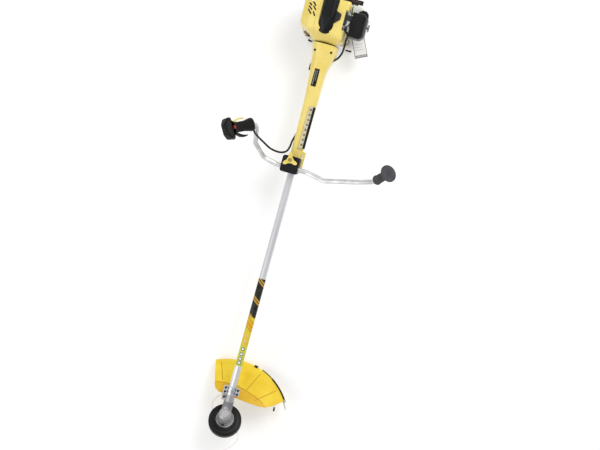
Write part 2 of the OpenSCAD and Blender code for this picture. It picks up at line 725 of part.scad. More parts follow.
// Channel with its flange upward, a row of holes through the flange and a leg at each end
module harness_rail() placed() color("#d4d6d9") difference() {
    union() {
        block([rail_x[0], rail_y, rail_z], [rail_x[1], rail_y + rail_t, rail_z + rail_h]);
        block([rail_x[0], rail_y, rail_z + rail_h - rail_t], [rail_x[1], rail_y + rail_w, rail_z + rail_h]);
        for (x = [rail_x[0], rail_x[1] - 6])
            block([x, rail_y, rail_z], [x + 6, rail_y + rail_w, rail_z + rail_h]);
    }
    for (k = [0:rail_holes - 1])
        translate([(rail_x[0] + rail_x[1]) / 2 + (k - (rail_holes - 1) / 2) * rail_pitch,
            rail_y + (rail_w + rail_t) / 2, rail_z + rail_h / 2])
            cylinder(h = rail_h, d = rail_hole_d);
}

// Rubber strip along the rail's free edge
module rail_pad() placed() color(black)
    block([rail_x[0], rail_y + rail_w, rail_z + rail_h - 4],
        [rail_x[1], rail_y + rail_w + pad_wide, rail_z + rail_h + 1]);

module name_plate() placed() color(black) plate_frame() block([-35, -10, 0], [35, 10, 1.6]);

// ---- Clutch and fan ----

module clutch_housing() engine() color(alloy) difference() {
    union() {
        rod(36, 87, fan_housing_d);
        rod(87 - e, 104, fan_housing_d, 46);
        rod(100, 150, 46);
    }
    rod(35, 62, fan_housing_d - 8);
    rod(61, 90, 72);
    rod(89, 102, bearing_d);
    rod(101, 109, 18);
    rod(108, 151, tube_d);
}

drum_d = 66;
module clutch_drum() engine() color(steel) difference() {
    union() {
        rod(64, 88, drum_d);
        rod(87, 103, 12);
    }
    rod(63, 85, drum_d - 7);
    rod(90, 104, shaft_d);
}

shoe_d = drum_d - 9;
module clutch_shoes() engine() color("#6b4a3a") {
    ring_solid(65, 76, 20, 12.04);
    difference() {
        ring_solid(66, 78, shoe_d, 22);
        block([60, -2, -40], [90, 2, 40]);
    }
    for (a = [0, 180]) rotate([a, 0, 0]) block([67, 9.6, -4], [75, 11.4, 4]);
}

module flywheel_fan() engine() color("#9a9ca0") difference() {
    union() {
        rod(39, 45, fan_housing_d - 18);
        rod(44, 60, 34);
        for (k = [0:fan_blades - 1]) rotate([360 * k / fan_blades, 0, 0])
            block([44, 15, -1.2], [60, (fan_housing_d - 20) / 2, 1.2]);
    }
    rod(30, 70, journal_d);
}

// ---- Crank train, at the top of the stroke ----

web_d = 60;
pin_d = 11;
pin_half = 8;
throw = stroke / 2;
wrist_z = throw + rod_l;
case_front = 34;
cyl_foot = 44;
module crankshaft() engine() color(steel) {
    rod(pin_half + part_gap, 20, web_d);
    rod(19, 64, journal_d);
    rod(63, 79, 12);
    rod(-20, -pin_half - part_gap, web_d);
    rod(pulley_x[1] + part_gap, -19, journal_d);
}

module crankcase() engine() color("#8b8d91") difference() {
    union() {
        rod(-case_front, case_front, case_d);
        block([-34, -34, 0], [34, 34, 44]);
        for (x = [-28, 28], y = [-24, 24]) translate([x, y, -72]) cylinder(h = 60, d = 12);
        rod(28, 36, fan_housing_d - 4);
        rod(-36, -28, 100);
    }
    rod(-22, 22, web_d + 6);
    rod(-60, 60, journal_d + 2 * run_gap);
    post(0, 50, bore_d + 2);
    // clear of the cylinder's foot
    block([-31 - part_gap, -60, cyl_foot], [31 + part_gap, 60, 80]);
}

cyl_top = 112;
fin_t = 2.4;
fin_taper = 1.2;
module cylinder_bore() post(cyl_foot - 1, wrist_z + 22, bore_d);
module finned_cylinder() engine() color("#9b9da1") difference() {
    union() {
        post(cyl_foot, cyl_top - 6, bore_d + 14);
        post(cyl_top - 7, cyl_top, bore_d - 18);
        block([-31, -31, cyl_foot], [31, 31, cyl_foot + 6]);
        for (k = [0:fins - 1]) translate([0, 0, cyl_foot + 13 + k * (cyl_top - cyl_foot - 22) / (fins - 1)])
            block([-35 + fin_taper * k, -36 + fin_taper * k, 0],
                [35 - fin_taper * k, 36 - fin_taper * k, fin_t]);
        // exhaust port to the right, inlet port to the left
        block([-16, -42, 56], [16, -20, 84]);
        block([-16, 20, 54], [16, 42, 80]);
    }
    cylinder_bore();
    post(wrist_z + 20, cyl_top + 5, 10);
    translate([0, -44, 70]) rotate([-90, 0, 0]) cylinder(h = 30, d = 16);
    translate([0, 14, 67]) rotate([-90, 0, 0]) cylinder(h = 30, d = 16);
}

module piston_and_rod() engine() color("#c4c6ca") {
    difference() {
        post(wrist_z - 15, wrist_z + 15, bore_d - 2 * run_gap);
        post(wrist_z - 16, wrist_z + 10, bore_d - 8);
    }
    translate([0, 0, wrist_z]) rod(-18.2, 18.2, 10);
    difference() {
        union() {
            translate([0, 0, throw]) rod(-6, 6, 24);
            translate([0, 0, wrist_z]) rod(-6, 6, 18);
            block([-3.5, -5, throw + 4], [3.5, 5, wrist_z - 4]);
        }
        translate([0, 0, throw]) rod(-10, 10, pin_d + 0.1);
        translate([0, 0, wrist_z]) rod(-10, 10, 10.1);
    }
    translate([0, 0, throw]) rod(-pin_half, pin_half, pin_d);
}

// ---- Engine cover ----

shell_rear = -70;
shell_front = 105;
shell_left = 67;
shell_right = -118;
shell_top = 122;
shell_low = -24;

// Corners of the cover's skin, each the centre of a ball
shell_corners = [[shell_rear + 14, shell_right + 16, 92],
    [shell_rear + 14, shell_right + 40, shell_top - 14],
    [shell_rear + 14, shell_left - 18, shell_top - 16], [48, shell_right + 18, 82],
        [60, shell_right + 42, 98],
    [72, shell_left - 22, 88], [shell_front - 14, -38, 58], [shell_front - 14, 36, 58],
    [shell_rear + 14, shell_right + 15, 0], [50, shell_right + 15, 0], [78, shell_right + 32, 0],
    [shell_rear + 14, shell_left - 14, 0], [80, shell_left - 15, 0], [shell_front - 14, -38, 0],
    [shell_front - 14, 36, 0], [shell_rear + 14, -14, shell_top - 14], [50, -14, shell_top - 18]];

module shell_solid(inset) {
    ball = 14 - inset;
    hull() {
        for (c = shell_corners) translate(c) sphere(ball, $fn = 20);
        for (c = shell_corners) if (c[2] == 0) translate([c[0], c[1], shell_low - 10])
            cylinder(h = 10, r = ball, $fn = 20);
    }
}

// Louvres over the muffler: place, length and slant of each
louvre_w = 6;
louvres = [[-20, -88, 16, 55], [-6, -86, 22, 50], [8, -86, 25, 43], [-27, -76, 28, 43],
    [-9, -70, 20, 40], [13, -67, 21, 30]];

module engine_cover() engine() color(yellow) difference() {
    shell_solid(0);
    shell_solid(shell_wall);
    // open rear, open foot, room for the intake side
    block([shell_rear - 60, -200, -200], [shell_rear + 4, 200, 200]);
    block([-200, -200, -200], [200, 200, shell_low]);
    block([-32, 49, -60], [46, 100, 200]);
    block([40, 40, -60], [200, 200, 6]);
    rod(60, 200, fan_housing_d + 2);
    // openings over the spark plug and before the exhaust outlet
    block([-40, -34, 60], [40, 12, 160]);
    block([70, -98, 14], [130, -58, 60]);
    // slanted louvres over the muffler
    for (p = louvres) translate([p[0], p[1], 60]) rotate([0, 0, p[3]]) linear_extrude(height = 100) {
        square([p[2] - louvre_w, louvre_w], center = true);
        for (s = [-1, 1]) translate([s * (p[2] - louvre_w) / 2, 0]) circle(d = louvre_w, $fn = 16);
    }
}

plug_cover_w = 62;
plug_cover_y = -14;
module plug_cover() engine() color(black) difference() {
    w = plug_cover_w / 2;
    translate([0, plug_cover_y, 0]) difference() {
        union() {
            hull() {
                translate([76 - w, 0, 101]) cylinder(h = 8, r = w, $fn = 40);
                translate([74 - w, 0, 112]) scale([1, 1, 0.5]) sphere(w - 8, $fn = 32);
                for (y = [-1, 1]) {
                    translate([shell_rear + 12, y * (w - 6), shell_top - 16])
                        cylinder(h = 16, r = 6, $fn = 24);
                    translate([shell_rear + 16, y * (w - 16), shell_top + 8]) sphere(8, $fn = 20);
                    translate([10, y * (w - 14), shell_top + 10]) sphere(8, $fn = 20);
                }
            }
            // jagged lobe on the left
            hull() {
                for (x = [-14, 26]) translate([x, w - 4, shell_top - 12]) cylinder(h = 18, r = 5, $fn = 24);
                for (x = [-8, 8]) translate([x, w + 14, shell_top - 12]) cylinder(h = 14, r = 5, $fn = 24);
            }
        }
        // room for the spark plug and its cap
        block([-44, -21, 90], [16, 24, shell_top + 9]);
    }
    shell_solid(-part_gap);
}

module spark_plug() engine() color("#e6e4dd") {
    post(wrist_z + 23, cyl_top, 9.9);
    post(cyl_top, cyl_top + 7, 16);
    post(cyl_top + 6, cyl_top + 14, 11);
}

// ---- Exhaust and intake ----

// The muffler's can, set in all round, with room beside the fan housing and the crankcase
module muffler_can(inset) difference() {
    block([-36 + inset, -100 + inset, 16 + inset], [58 - inset, -42 - inset, 88 - inset]);
    rod(27 - inset, 100, fan_housing_d + 4 + 2 * inset);
    rod(-100, -27 + inset, 104 + 2 * inset);
}

module muffler() engine() color("#77787c") difference() {
    union() {
        muffler_can(0);
        block([57, -92, 22], [86, -63, 52]);
        translate([0, -77, 37]) rod(80, 96, 18);
        // seam where the two pressings are folded together
        block([-40, -72, 12], [62, -69, 92]);
    }
    muffler_can(2);
    block([50, -90, 24], [84, -65, 50]);
    translate([0, -77, 37]) rod(80, 100, 14);
    translate([0, -50, 70]) rotate([-90, 0, 0]) cylinder(h = 20, d = 16);
}

carb_y = [54, 76];
arm_pivot = [10, 66];
bulb_foot_d = 15;
module carburettor() engine() color("#a9abae") difference() {
    union() {
        block([-20, 42, 48], [20, 54, 88]);
        block([-19, 53.5, 46], [19, carb_y[1] + 1, 84]);
        // bracket that holds the end of the throttle cable
        block([33, 56, 44], [36, 66, 97]);
        block([18, 58, 44], [34, 64, 54]);
    }
    translate([0, 65, 40]) post(0, 12, bulb_foot_d + 2 * part_gap);
    translate([0, 40, 67]) rotate([-90, 0, 0]) cylinder(h = 50, d = 15);
    translate([arm_pivot[0], arm_pivot[1], 60]) cylinder(h = 40, d = 5 + 2 * run_gap);
    translate([arm_pivot[0], arm_pivot[1], 30]) cylinder(h = 31, d = 3);
}

module throttle_arm() engine() color(steel) translate([arm_pivot[0], arm_pivot[1], 0]) {
    post(62, 93, 5);
    translate([0, 0, 89]) linear_extrude(height = 3)
        polygon([[-5, -5], [5, -5], [16, -9], [18, -4], [5, 5], [-5, 5]]);
}

filter_x = [-35, 64];
filter_z = [24, 108];
filter_split = 98;
choke_x = -27;
filter_out = 139;
module air_filter_case() engine() color(black) difference() {
    hull() for (x = [filter_x[0] + 10, filter_x[1] - 10], z = [filter_z[0] + 10, filter_z[1] - 10])
        translate([x, carb_y[1] + 1, z]) rotate([-90, 0, 0])
            cylinder(h = filter_split - carb_y[1] - 1, r = 9, $fn = 32);
    block([filter_x[0] + 6, carb_y[1] + 5, filter_z[0] + 6], [filter_x[1] - 6, 120, filter_z[1] - 6]);
    translate([0, 60, 67]) rotate([-90, 0, 0]) cylinder(h = 30, d = 15);
    translate([choke_x, 60, 84]) rotate([-90, 0, 0]) cylinder(h = 30, d = 6 + 2 * run_gap);
}

module air_filter_cover() engine() color(black) {
    difference() {
        hull() {
            for (x = [filter_x[0] + 10, filter_x[1] - 10], z = [filter_z[0] + 10, filter_z[1] - 10])
                translate([x, filter_split + part_gap, z]) rotate([-90, 0, 0])
                    cylinder(h = 22, r = 10, $fn = 32);
            for (x = [filter_x[0] + 18, filter_x[1] - 18], z = [filter_z[0] + 18, filter_z[1] - 18])
                translate([x, filter_out - 8, z]) sphere(8, $fn = 20);
        }
        block([filter_x[0] + 5, 90, filter_z[0] + 5], [filter_x[1] - 5, filter_out - 18, filter_z[1] - 5]);
        block([filter_x[0] + 15, 90, filter_z[0] + 15], [filter_x[1] - 15, filter_out - 4,
            filter_z[1] - 15]);
    }
    translate([10, filter_out - 1, 66]) rotate([-90, 0, 0]) cylinder(h = 9, d = 10);
    translate([10, filter_out + 4, 66]) block([-14, 0, -4], [14, 5, 4]);
}

module choke_lever() engine() color(black) translate([choke_x, 0, 84]) {
    rotate([-90, 0, 0]) post(70, 80.5, 6);
    translate([0, 71.5, 0]) rotate([90, 0, 0]) linear_extrude(height = 3)
        polygon([[-6, -4], [6, -4], [0, 8], [-16, 34], [-24, 30], [-14, 8]]);
}

module primer_bulb() engine() color("#c9b98a") translate([0, 65, 0]) {
    post(36, 46.5, bulb_foot_d);
    translate([0, 0, 36]) sphere(8.6);
}

// ---- Fuel tank and stand ----

tank_top = -72;
tank_low = -150;
stand_low = -shaft_height;
tank_x = [-84, 92];
tank_y = [-92, 104];
cap_at = [-46, 98, -76];
cap_dir = [0, 0.6, 0.8];
module tank_solid(inset) hull() for (x = [tank_x[0] + 16, tank_x[1] - 16],
    y = [tank_y[0] + 16, tank_y[1] - 16],
    z = [tank_low + 16, tank_top - 16]) translate([x, y, z]) sphere(16 - inset, $fn = 20);

module fuel_tank() engine() color("#e9e9e2") difference() {
    union() {
        tank_solid(0);
        translate(cap_at) aim(cap_dir) post(-22, 4, 30);
    }
    tank_solid(3);
    translate(cap_at) aim(cap_dir) post(-30, 10, 24);
}

module fuel_cap() engine() color(black) translate(cap_at) aim(cap_dir) {
    post(4 + part_gap, 20, cap_d);
    for (k = [0:9]) rotate([0, 0, 36 * k]) block([cap_d / 2 - 4, -3, 6], [cap_d / 2 + 2, 3, 18]);
    post(-6, 6, 24 - 2 * part_gap);
}

module tank_stand() engine() color(black) {
    for (y = [-78, 78]) block([-88, y - 12, stand_low], [96, y + 12, tank_low]);
    for (x = [-80, 76]) block([x, -90, stand_low + 6], [x + 14, 90, tank_low]);
}

// ---- Recoil starter ----

starter_rear = -118;
rope_out = [-75, 76, 66];
pulley_x = [-106, -96];
grip_z = rope_out[2] + part_gap;
axle_d = 10;
module starter_housing() engine() color(black) difference() {
    union() {
        // back plate that closes the cover
        intersection() {
            shell_solid(-1);
            block([shell_rear - 4, -200, -40], [shell_rear + 3.7, 200, 200]);
        }
        rod(starter_rear, shell_rear, starter_d);
        rod(starter_rear - 2, starter_rear + 2, starter_d - 30);
        for (a = [45, 135, 225, 315]) rotate([a, 0, 0]) translate([0, 44, 0]) rod(shell_rear, -36, 10);
        // rope guide
        translate([rope_out[0], rope_out[1], 0]) block([-9, -30, 40], [7.7, 8, rope_out[2]]);
    }
    difference() {
        rod(starter_rear + 4, shell_rear - 2, starter_d - 8);
        rod(starter_rear, pulley_x[0] - part_gap, 18);
        rod(starter_rear, pulley_x[1] - part_gap, axle_d);
    }
    rod(shell_rear - 5, shell_rear + 10, 30);
    translate([rope_out[0], rope_out[1], 0]) post(30, 80, 5);
    for (a = [0:30:330]) rotate([a, 0, 0]) block([starter_rear - 10, 22, -2.5],
        [starter_rear + 10, 40, 2.5]);
    translate([pulley_x[0] + 5, 0, 0]) block([-4, 40, 18], [33, 90, 55]);
    // recess for the grip
    translate([rope_out[0], rope_out[1], grip_z + 12]) block([-9, -28.5, 0], [10, 28.5, 100]);
}

module starter_pulley() engine() color("#6f7277") {
    difference() {
        rod(pulley_x[0], pulley_x[1], 2 * pulley_r + 6);
        ring_solid(pulley_x[0] + 3, pulley_x[1] - 3, 2 * pulley_r + 20, 2 * pulley_r - 4);
        rod(pulley_x[0] - 5, pulley_x[1] + 5, axle_d + 2 * run_gap);
    }
}

rope_route = [[-101, 36, 12], [-101, 42, 20], [-97, 52, 31], [-88, 65, 41], [-78, 74, 48],
    rope_out - [0, 0, 8],
    rope_out + [0, 0, 4]];
module starter_rope() engine() color("#2b2b2b") sweep(smooth(rope_route, 3), 1.75, 8, [1, 0.3, 0.2]);

module starter_grip() engine() color(black) translate([rope_out[0], rope_out[1], grip_z]) {
    difference() {
        post(0, 14, 14);
        post(-1, 6, 4);
    }
    hull() for (y = [-20, 20]) translate([0, y, 20]) rotate([0, 90, 0])
        translate([0, 0, -8]) cylinder(h = 16, r = 7, $fn = 32);
}

// ---- Fuel lines and stop wires ----

fuel_route = [[18, 70, -71.7], [20, 72, -50], [21, 71, -10], [17, 68, 20], [14, 66, 35], [13.5, 66, 45.8]];
wire_route = [[84, fan_housing_d / 2 + 0.8, -10], [88, 68, -1], [84, 79, 8], [74, 84, 18], [62, 74, 24],
    [52, 70, 30], [43, 65, 39], [37.9, 61, 47.5]];
module engine_leads() engine() color("#6a3a30") {
    sweep(smooth(fuel_route, 4), 2.5, 8, [1, 0, 0]);
    sweep(smooth(wire_route, 4), 1.6, 8, [1, 0.2, 0.1]);
}

// ---- Socket screws ----

module socket_screws() color("#3a3b3e") {
    placed() {
        for (p = clamp_screws) translate([p[0], p[1], clamp_high - screw_d - 1])
            screw(clamp_high - screw_d - clamp_low - 12);
        for (p = bracket_screws) translate([bracket_x + p[0], p[1], bracket_h * 0.55])
            screw(bracket_h * 1.1 + 4);
        for (p = cover_screw_at) translate([p[0], p[1], p[2] - 6]) screw(p[2] + 12);
        translate([neck_rear + 13, -clamp_ear_y, 8]) screw(20);
    }
    head_frame() {
        translate([boss_d / 2 + 5, 0, -28]) screw(4.5);
        for (y = [-12, 12]) translate([-114, y, -9]) rotate([180, 0, 0]) screw(24);
    }
}

drive_tube();
drive_shaft();
drive_bearings();
gear_case();
pinion_gear();
output_gear();
holder_dish();
head_housing();
line_spool();
spool_spring();
cutting_line_a();
cutting_line_b();
guard();
guard_bracket();
guard_bracket_cap();
line_knife();
guard_edge_trim();
socket_screws();
clamp_lower();
clamp_middle();
clamp_top();
clamp_knob();
handlebar();
left_grip();
throttle_grip();
throttle_trigger();
lockout_lever();
stop_switch();
throttle_cable();
shaft_cover_upper();
shaft_cover_lower();
harness_rail();
rail_pad();
name_plate();
clutch_housing();
clutch_drum();
clutch_shoes();
flywheel_fan();
crankshaft();
crankcase();
finned_cylinder();
piston_and_rod();
engine_cover();
plug_cover();
spark_plug();
muffler();
carburettor();
throttle_arm();
choke_lever();
primer_bulb();
air_filter_case();
air_filter_cover();
fuel_tank();
fuel_cap();
tank_stand();
starter_housing();
starter_pulley();
starter_rope();
starter_grip();
engine_leads();
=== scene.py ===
import bpy, bmesh, json, math
from mathutils import Vector, Matrix
from mathutils.bvhtree import BVHTree


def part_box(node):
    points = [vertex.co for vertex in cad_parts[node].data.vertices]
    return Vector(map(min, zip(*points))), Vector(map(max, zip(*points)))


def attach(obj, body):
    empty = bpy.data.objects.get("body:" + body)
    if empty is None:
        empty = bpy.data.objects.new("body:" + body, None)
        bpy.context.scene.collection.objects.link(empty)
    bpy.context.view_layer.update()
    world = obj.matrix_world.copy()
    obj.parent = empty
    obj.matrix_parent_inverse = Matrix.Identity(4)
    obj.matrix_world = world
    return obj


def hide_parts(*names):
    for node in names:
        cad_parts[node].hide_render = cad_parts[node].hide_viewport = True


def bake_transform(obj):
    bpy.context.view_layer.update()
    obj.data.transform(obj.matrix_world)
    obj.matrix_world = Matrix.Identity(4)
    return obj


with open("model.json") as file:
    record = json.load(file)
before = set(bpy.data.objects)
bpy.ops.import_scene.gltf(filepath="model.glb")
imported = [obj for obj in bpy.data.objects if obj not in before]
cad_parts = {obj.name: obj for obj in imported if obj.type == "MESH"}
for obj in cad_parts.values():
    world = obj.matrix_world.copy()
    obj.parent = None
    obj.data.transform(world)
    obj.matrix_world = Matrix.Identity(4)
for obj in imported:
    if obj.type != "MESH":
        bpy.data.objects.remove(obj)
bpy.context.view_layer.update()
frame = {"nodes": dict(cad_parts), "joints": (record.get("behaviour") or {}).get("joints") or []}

# ---- Studio: white floor, camera overhead, soft lamps ----
# The machine lies on a white sweep. A long lens looks almost straight down on it, turned so that
# the drive tube runs down the frame. A strong lamp stands behind the engine, a wide weak one opposite.


def linear(hex_colour):
    """sRGB hex to the linear colour that shaders and lamps work in."""
    parts = [int(hex_colour[i:i + 2], 16) / 255 for i in (1, 3, 5)]
    return [p / 12.92 if p <= 0.04045 else ((p + 0.055) / 1.055) ** 2.4 for p in parts] + [1.0]


def add(tree, kind, inputs=None, **settings):
    """Adds a shader node. inputs maps a socket to a value or to another node's output."""
    made = tree.nodes.new("ShaderNode" + kind)
    for key, value in settings.items():
        setattr(made, key, value)
    for key, value in (inputs or {}).items():
        if isinstance(value, bpy.types.NodeSocket):
            tree.links.new(value, made.inputs[key])
        else:
            made.inputs[key].default_value = value
    return made


def shown_white(tree, shader, white):
    """White where the camera looks, also through a piece, the given shader for every other ray."""
    path = add(tree, "LightPath")
    seen = add(tree, "Math", {0: path.outputs["Is Camera Ray"], 1: path.outputs["Is Transmission Ray"]},
               operation="MAXIMUM")
    return add(tree, "MixShader", {0: seen.outputs[0], 1: shader, 2: white})


scene = bpy.context.scene
scene.view_settings.view_transform = "Standard"
world = bpy.data.worlds.new("white studio")
scene.world = world
world.use_nodes = True
tree = world.node_tree
tree.nodes.clear()
sky_strength = 0.62
dim = add(tree, "Background", {"Color": linear("#ffffff"), "Strength": sky_strength})
bright = add(tree, "Background", {"Color": linear("#ffffff"), "Strength": 1.0})
sky = shown_white(tree, dim.outputs[0], bright.outputs[0])
add(tree, "OutputWorld", {"Surface": sky.outputs[0]})

# The floor is pure white to the camera except where the machine's shadow falls on it.
floor_size = 9.0
floor_drop = 0.001
floor_glow = 0.34
mesh = bpy.data.meshes.new("studio_floor")
half = floor_size / 2
mesh.from_pydata([(-half, -half, 0), (half, -half, 0), (half, half, 0), (-half, half, 0)], [], [(0, 1, 2, 3)])
floor = bpy.data.objects.new("studio_floor", mesh)
scene.collection.objects.link(floor)
floor.location.z = -floor_drop
paper = bpy.data.materials.new("white paper sweep")
paper.use_nodes = True
tree = paper.node_tree
tree.nodes.clear()
lit = add(tree, "BsdfDiffuse", {"Color": linear("#dcdcdc")})
glow = add(tree, "Emission", {"Color": linear("#ffffff"), "Strength": floor_glow})
both = add(tree, "AddShader", {0: lit.outputs[0], 1: glow.outputs[0]})
add(tree, "OutputMaterial", {"Surface": both.outputs[0]})
mesh.materials.append(paper)

target = Vector((0.023, 0.034, 0.17))
camera_distance = 4.5
stand = Vector((-0.07, 0.07, 0.995)).normalized() * camera_distance
lens_mm = 69.2
sensor_mm = 36
# The lens is shifted rather than tilted along the tube, so both ends keep one scale.
toward_camera = Vector((0.015, 0.07, 0.995)).normalized()
frame_right = Vector((-0.2622, 0.965, 0))
frame_right = (frame_right - frame_right.dot(toward_camera) * toward_camera).normalized()
frame_up = toward_camera.cross(frame_right)
camera_data = bpy.data.cameras.new("camera")
camera_data.sensor_width = sensor_mm
camera_data.lens = lens_mm
camera_data.clip_end = 30
depth = stand.dot(toward_camera)
camera_data.shift_x = -lens_mm / sensor_mm * stand.dot(frame_right) / depth
camera_data.shift_y = -lens_mm / sensor_mm * stand.dot(frame_up) / depth
camera = bpy.data.objects.new("camera", camera_data)
scene.collection.objects.link(camera)
eye = target + stand
camera.matrix_world = Matrix((
    (frame_right.x, frame_up.x, toward_camera.x, eye.x),
    (frame_right.y, frame_up.y, toward_camera.y, eye.y),
    (frame_right.z, frame_up.z, toward_camera.z, eye.z),
    (0, 0, 0, 1)))
scene.camera = camera

for name, place, size, power in (
        ("key_softbox", (-2.2, 1.2, 3.2), 1.6, 62),
        ("fill_softbox", (1.8, -1.8, 2.6), 2.4, 30)):
    lamp_data = bpy.data.lights.new(name, "AREA")
    lamp_data.size = size
    lamp_data.energy = power
    lamp = bpy.data.objects.new(name, lamp_data)
    lamp.location = place
    lamp.rotation_euler = (target - Vector(place)).to_track_quat("-Z", "Y").to_euler()
    scene.collection.objects.link(lamp)

# ---- Cutting lines ----
# Two ends of the 2.6 mm nylon line leave the head's eyelets. The line is extruded, milky white
# and springy, so it keeps the curl that it had on the spool and holds itself up.

joint = {j["name"]: j for j in frame["joints"]}
spindle_at = Vector(joint["head_spin"]["pos_m"])
spindle_up = Vector(joint["head_spin"]["axis"]).normalized()
spindle_left = Vector((0, 1, 0))
spindle_front = spindle_left.cross(spindle_up)


def head_point(x, y, z):
    """A point in the line head's own frame, in millimetres, to the row frame."""
    return spindle_at + (spindle_front * x + spindle_left * y + spindle_up * z) / 1000


def curve_wire(name, points, radius, material, body, replaces=None, closed=False):
    """A round wire along points, with capped ends, or closed to a ring."""
    data = bpy.data.curves.new(name, "CURVE")
    data.dimensions = "3D"
    data.bevel_depth = radius
    data.bevel_resolution = 4
    data.use_fill_caps = True
    line = data.splines.new("POLY")
    line.points.add(len(points) - 1)
    for point, place in zip(line.points, points):
        point.co = (*place, 1)
    line.use_cyclic_u = closed
    piece = bpy.data.objects.new(name, data)
    scene.collection.objects.link(piece)
    data.materials.append(material)
    if replaces:
        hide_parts(replaces)
    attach(piece, body)
    return piece


# Nylon 6: milky, slightly see-through, smooth from the die; light passes a little way into it.
nylon = bpy.data.materials.new("extruded nylon line")
nylon.use_nodes = True
tree = nylon.node_tree
tree.nodes.clear()
place = add(tree, "TexCoord")
haze = add(tree, "TexNoise", {"Vector": place.outputs["Object"], "Scale": 220, "Detail": 2})
tint = add(tree, "ValToRGB", {"Fac": haze.outputs["Fac"]})
tint.color_ramp.elements[0].color = linear("#dfdfd8")
tint.color_ramp.elements[1].color = linear("#f3f3ee")
shine = add(tree, "BsdfPrincipled", {"Base Color": tint.outputs[0], "Roughness": 0.28, "IOR": 1.53,
            "Subsurface Weight": 0.3, "Subsurface Scale": 0.002})
add(tree, "OutputMaterial", {"Surface": shine.outputs[0]})

line_diameter = 0.0026
line_route = [(22.8, 48.9), (24.9, 53.5), (27.1, 58), (30, 61.6), (36, 65), (44, 68), (53, 69.5),
              (62, 68.5), (71, 65), (80, 60), (88, 54), (96, 47), (104, 39), (111, 31), (117, 22),
              (122, 12), (126, 1), (129, -10), (131, -20)]
eyelet_height = -64
for name, side in (("cutting_line_a", 1), ("cutting_line_b", -1)):
    route = [head_point(side * x, side * y, eyelet_height) for x, y in line_route]
    line = curve_wire("nylon_" + name, route, line_diameter / 2, nylon, "cutter_head", name)

# ---- Drive tube, shaft, bushings and printed films ----
# The tube is drawn aluminium, 28 mm across, and carries everything. A steel shaft turns inside it in
# bronze bushings. Four printed vinyl films are wrapped round its forward half.

handle_at = Vector(joint["drive_spin"]["pos_m"])


def tube_point(x, y, z):
    """Millimetres from the handle clamp, forward, left and up of the tube's axis, to the row frame."""
    return handle_at + Vector((x, y, z)) / 1000


def surface(name, dark, light, roughness, patch_mm, grain_mm, relief, metallic=0.0, coat=0.0,
            stretch=(1, 1, 1), specular=0.5):
    """A solid finish: two tones that drift over patch_mm, and a grain of grain_mm that also varies the
    gloss. stretch draws the pattern out along an axis."""
    made = bpy.data.materials.new(name)
    made.use_nodes = True
    tree = made.node_tree
    tree.nodes.clear()
    place = add(tree, "TexCoord")
    drawn = add(tree, "Mapping", {"Vector": place.outputs["Object"], "Scale": stretch})
    patches = add(tree, "TexNoise", {"Vector": drawn.outputs[0], "Scale": 1000 / patch_mm, "Detail": 3})
    tone = add(tree, "ValToRGB", {"Fac": patches.outputs["Fac"]})
    tone.color_ramp.elements[0].position = 0.32
    tone.color_ramp.elements[0].color = linear(dark)
    tone.color_ramp.elements[1].position = 0.68
    tone.color_ramp.elements[1].color = linear(light)
    grain = add(tree, "TexNoise", {"Vector": drawn.outputs[0], "Scale": 1000 / grain_mm, "Detail": 2})
    gloss = add(tree, "MapRange", {"Value": grain.outputs["Fac"], "From Min": 0.3, "From Max": 0.7,
                "To Min": roughness * 0.85, "To Max": min(1.0, roughness * 1.2)})
    bump = add(tree, "Bump", {"Height": grain.outputs["Fac"], "Strength": relief,
               "Distance": grain_mm / 4000})
    shader = add(tree, "BsdfPrincipled", {"Base Color": tone.outputs[0], "Roughness": gloss.outputs[0],
                 "Normal": bump.outputs[0], "Metallic": metallic, "Coat Weight": coat,
                 "Specular IOR Level": specular})
    add(tree, "OutputMaterial", {"Surface": shader.outputs[0]})
    return made


def dress(nodes, finish, edge=0.0):
    """Gives CAD solids their finish, and small radii of edge millimetres on their corners. The facets of
    a flat face are joined first, so that only real corners are rounded."""
    for node in nodes.split():
        piece = frame["nodes"][node]
        piece.data.materials.clear()
        piece.data.materials.append(finish)
        if edge:
            for key in ("custom_normal", "sharp_edge", "sharp_face"):
                if key in piece.data.attributes:
                    piece.data.attributes.remove(piece.data.attributes[key])
            piece.data.shade_smooth()
            weld = piece.modifiers.new("joined faces", "WELD")
            weld.merge_threshold = 0.00001
            flat = piece.modifiers.new("flat faces", "DECIMATE")
            flat.decimate_type = "DISSOLVE"
            flat.angle_limit = math.radians(0.5)
            corners = piece.modifiers.new("small radii", "BEVEL")
            corners.width = edge / 1000
            corners.segments = 2
            corners.limit_method = "ANGLE"
            corners.angle_limit = math.radians(30)
            corners.harden_normals = True
            normals = piece.modifiers.new("even shading", "WEIGHTED_NORMAL")
            normals.keep_sharp = True


def built(name, points, faces, finish, body, fold=40, edge=0.0):
    """A piece from points in the row frame. Faces that meet at more than fold degrees show an edge."""
    mesh = bpy.data.meshes.new(name)
    mesh.from_pydata([tuple(p) for p in points], [], faces)
    tidy = bmesh.new()
    tidy.from_mesh(mesh)
    bmesh.ops.remove_doubles(tidy, verts=tidy.verts, dist=0.000002)
    bmesh.ops.recalc_face_normals(tidy, faces=tidy.faces)
    tidy.to_mesh(mesh)
    tidy.free()
    mesh.shade_smooth()
    mesh.set_sharp_from_angle(angle=math.radians(fold))
    mesh.materials.append(finish)
    piece = bpy.data.objects.new(name, mesh)
    scene.collection.objects.link(piece)
    if edge:
        corners = piece.modifiers.new("small radii", "BEVEL")
        corners.width = edge / 1000
        corners.segments = 2
        corners.limit_method = "ANGLE"
        corners.angle_limit = math.radians(fold)
    if body:
        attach(piece, body)
    return piece


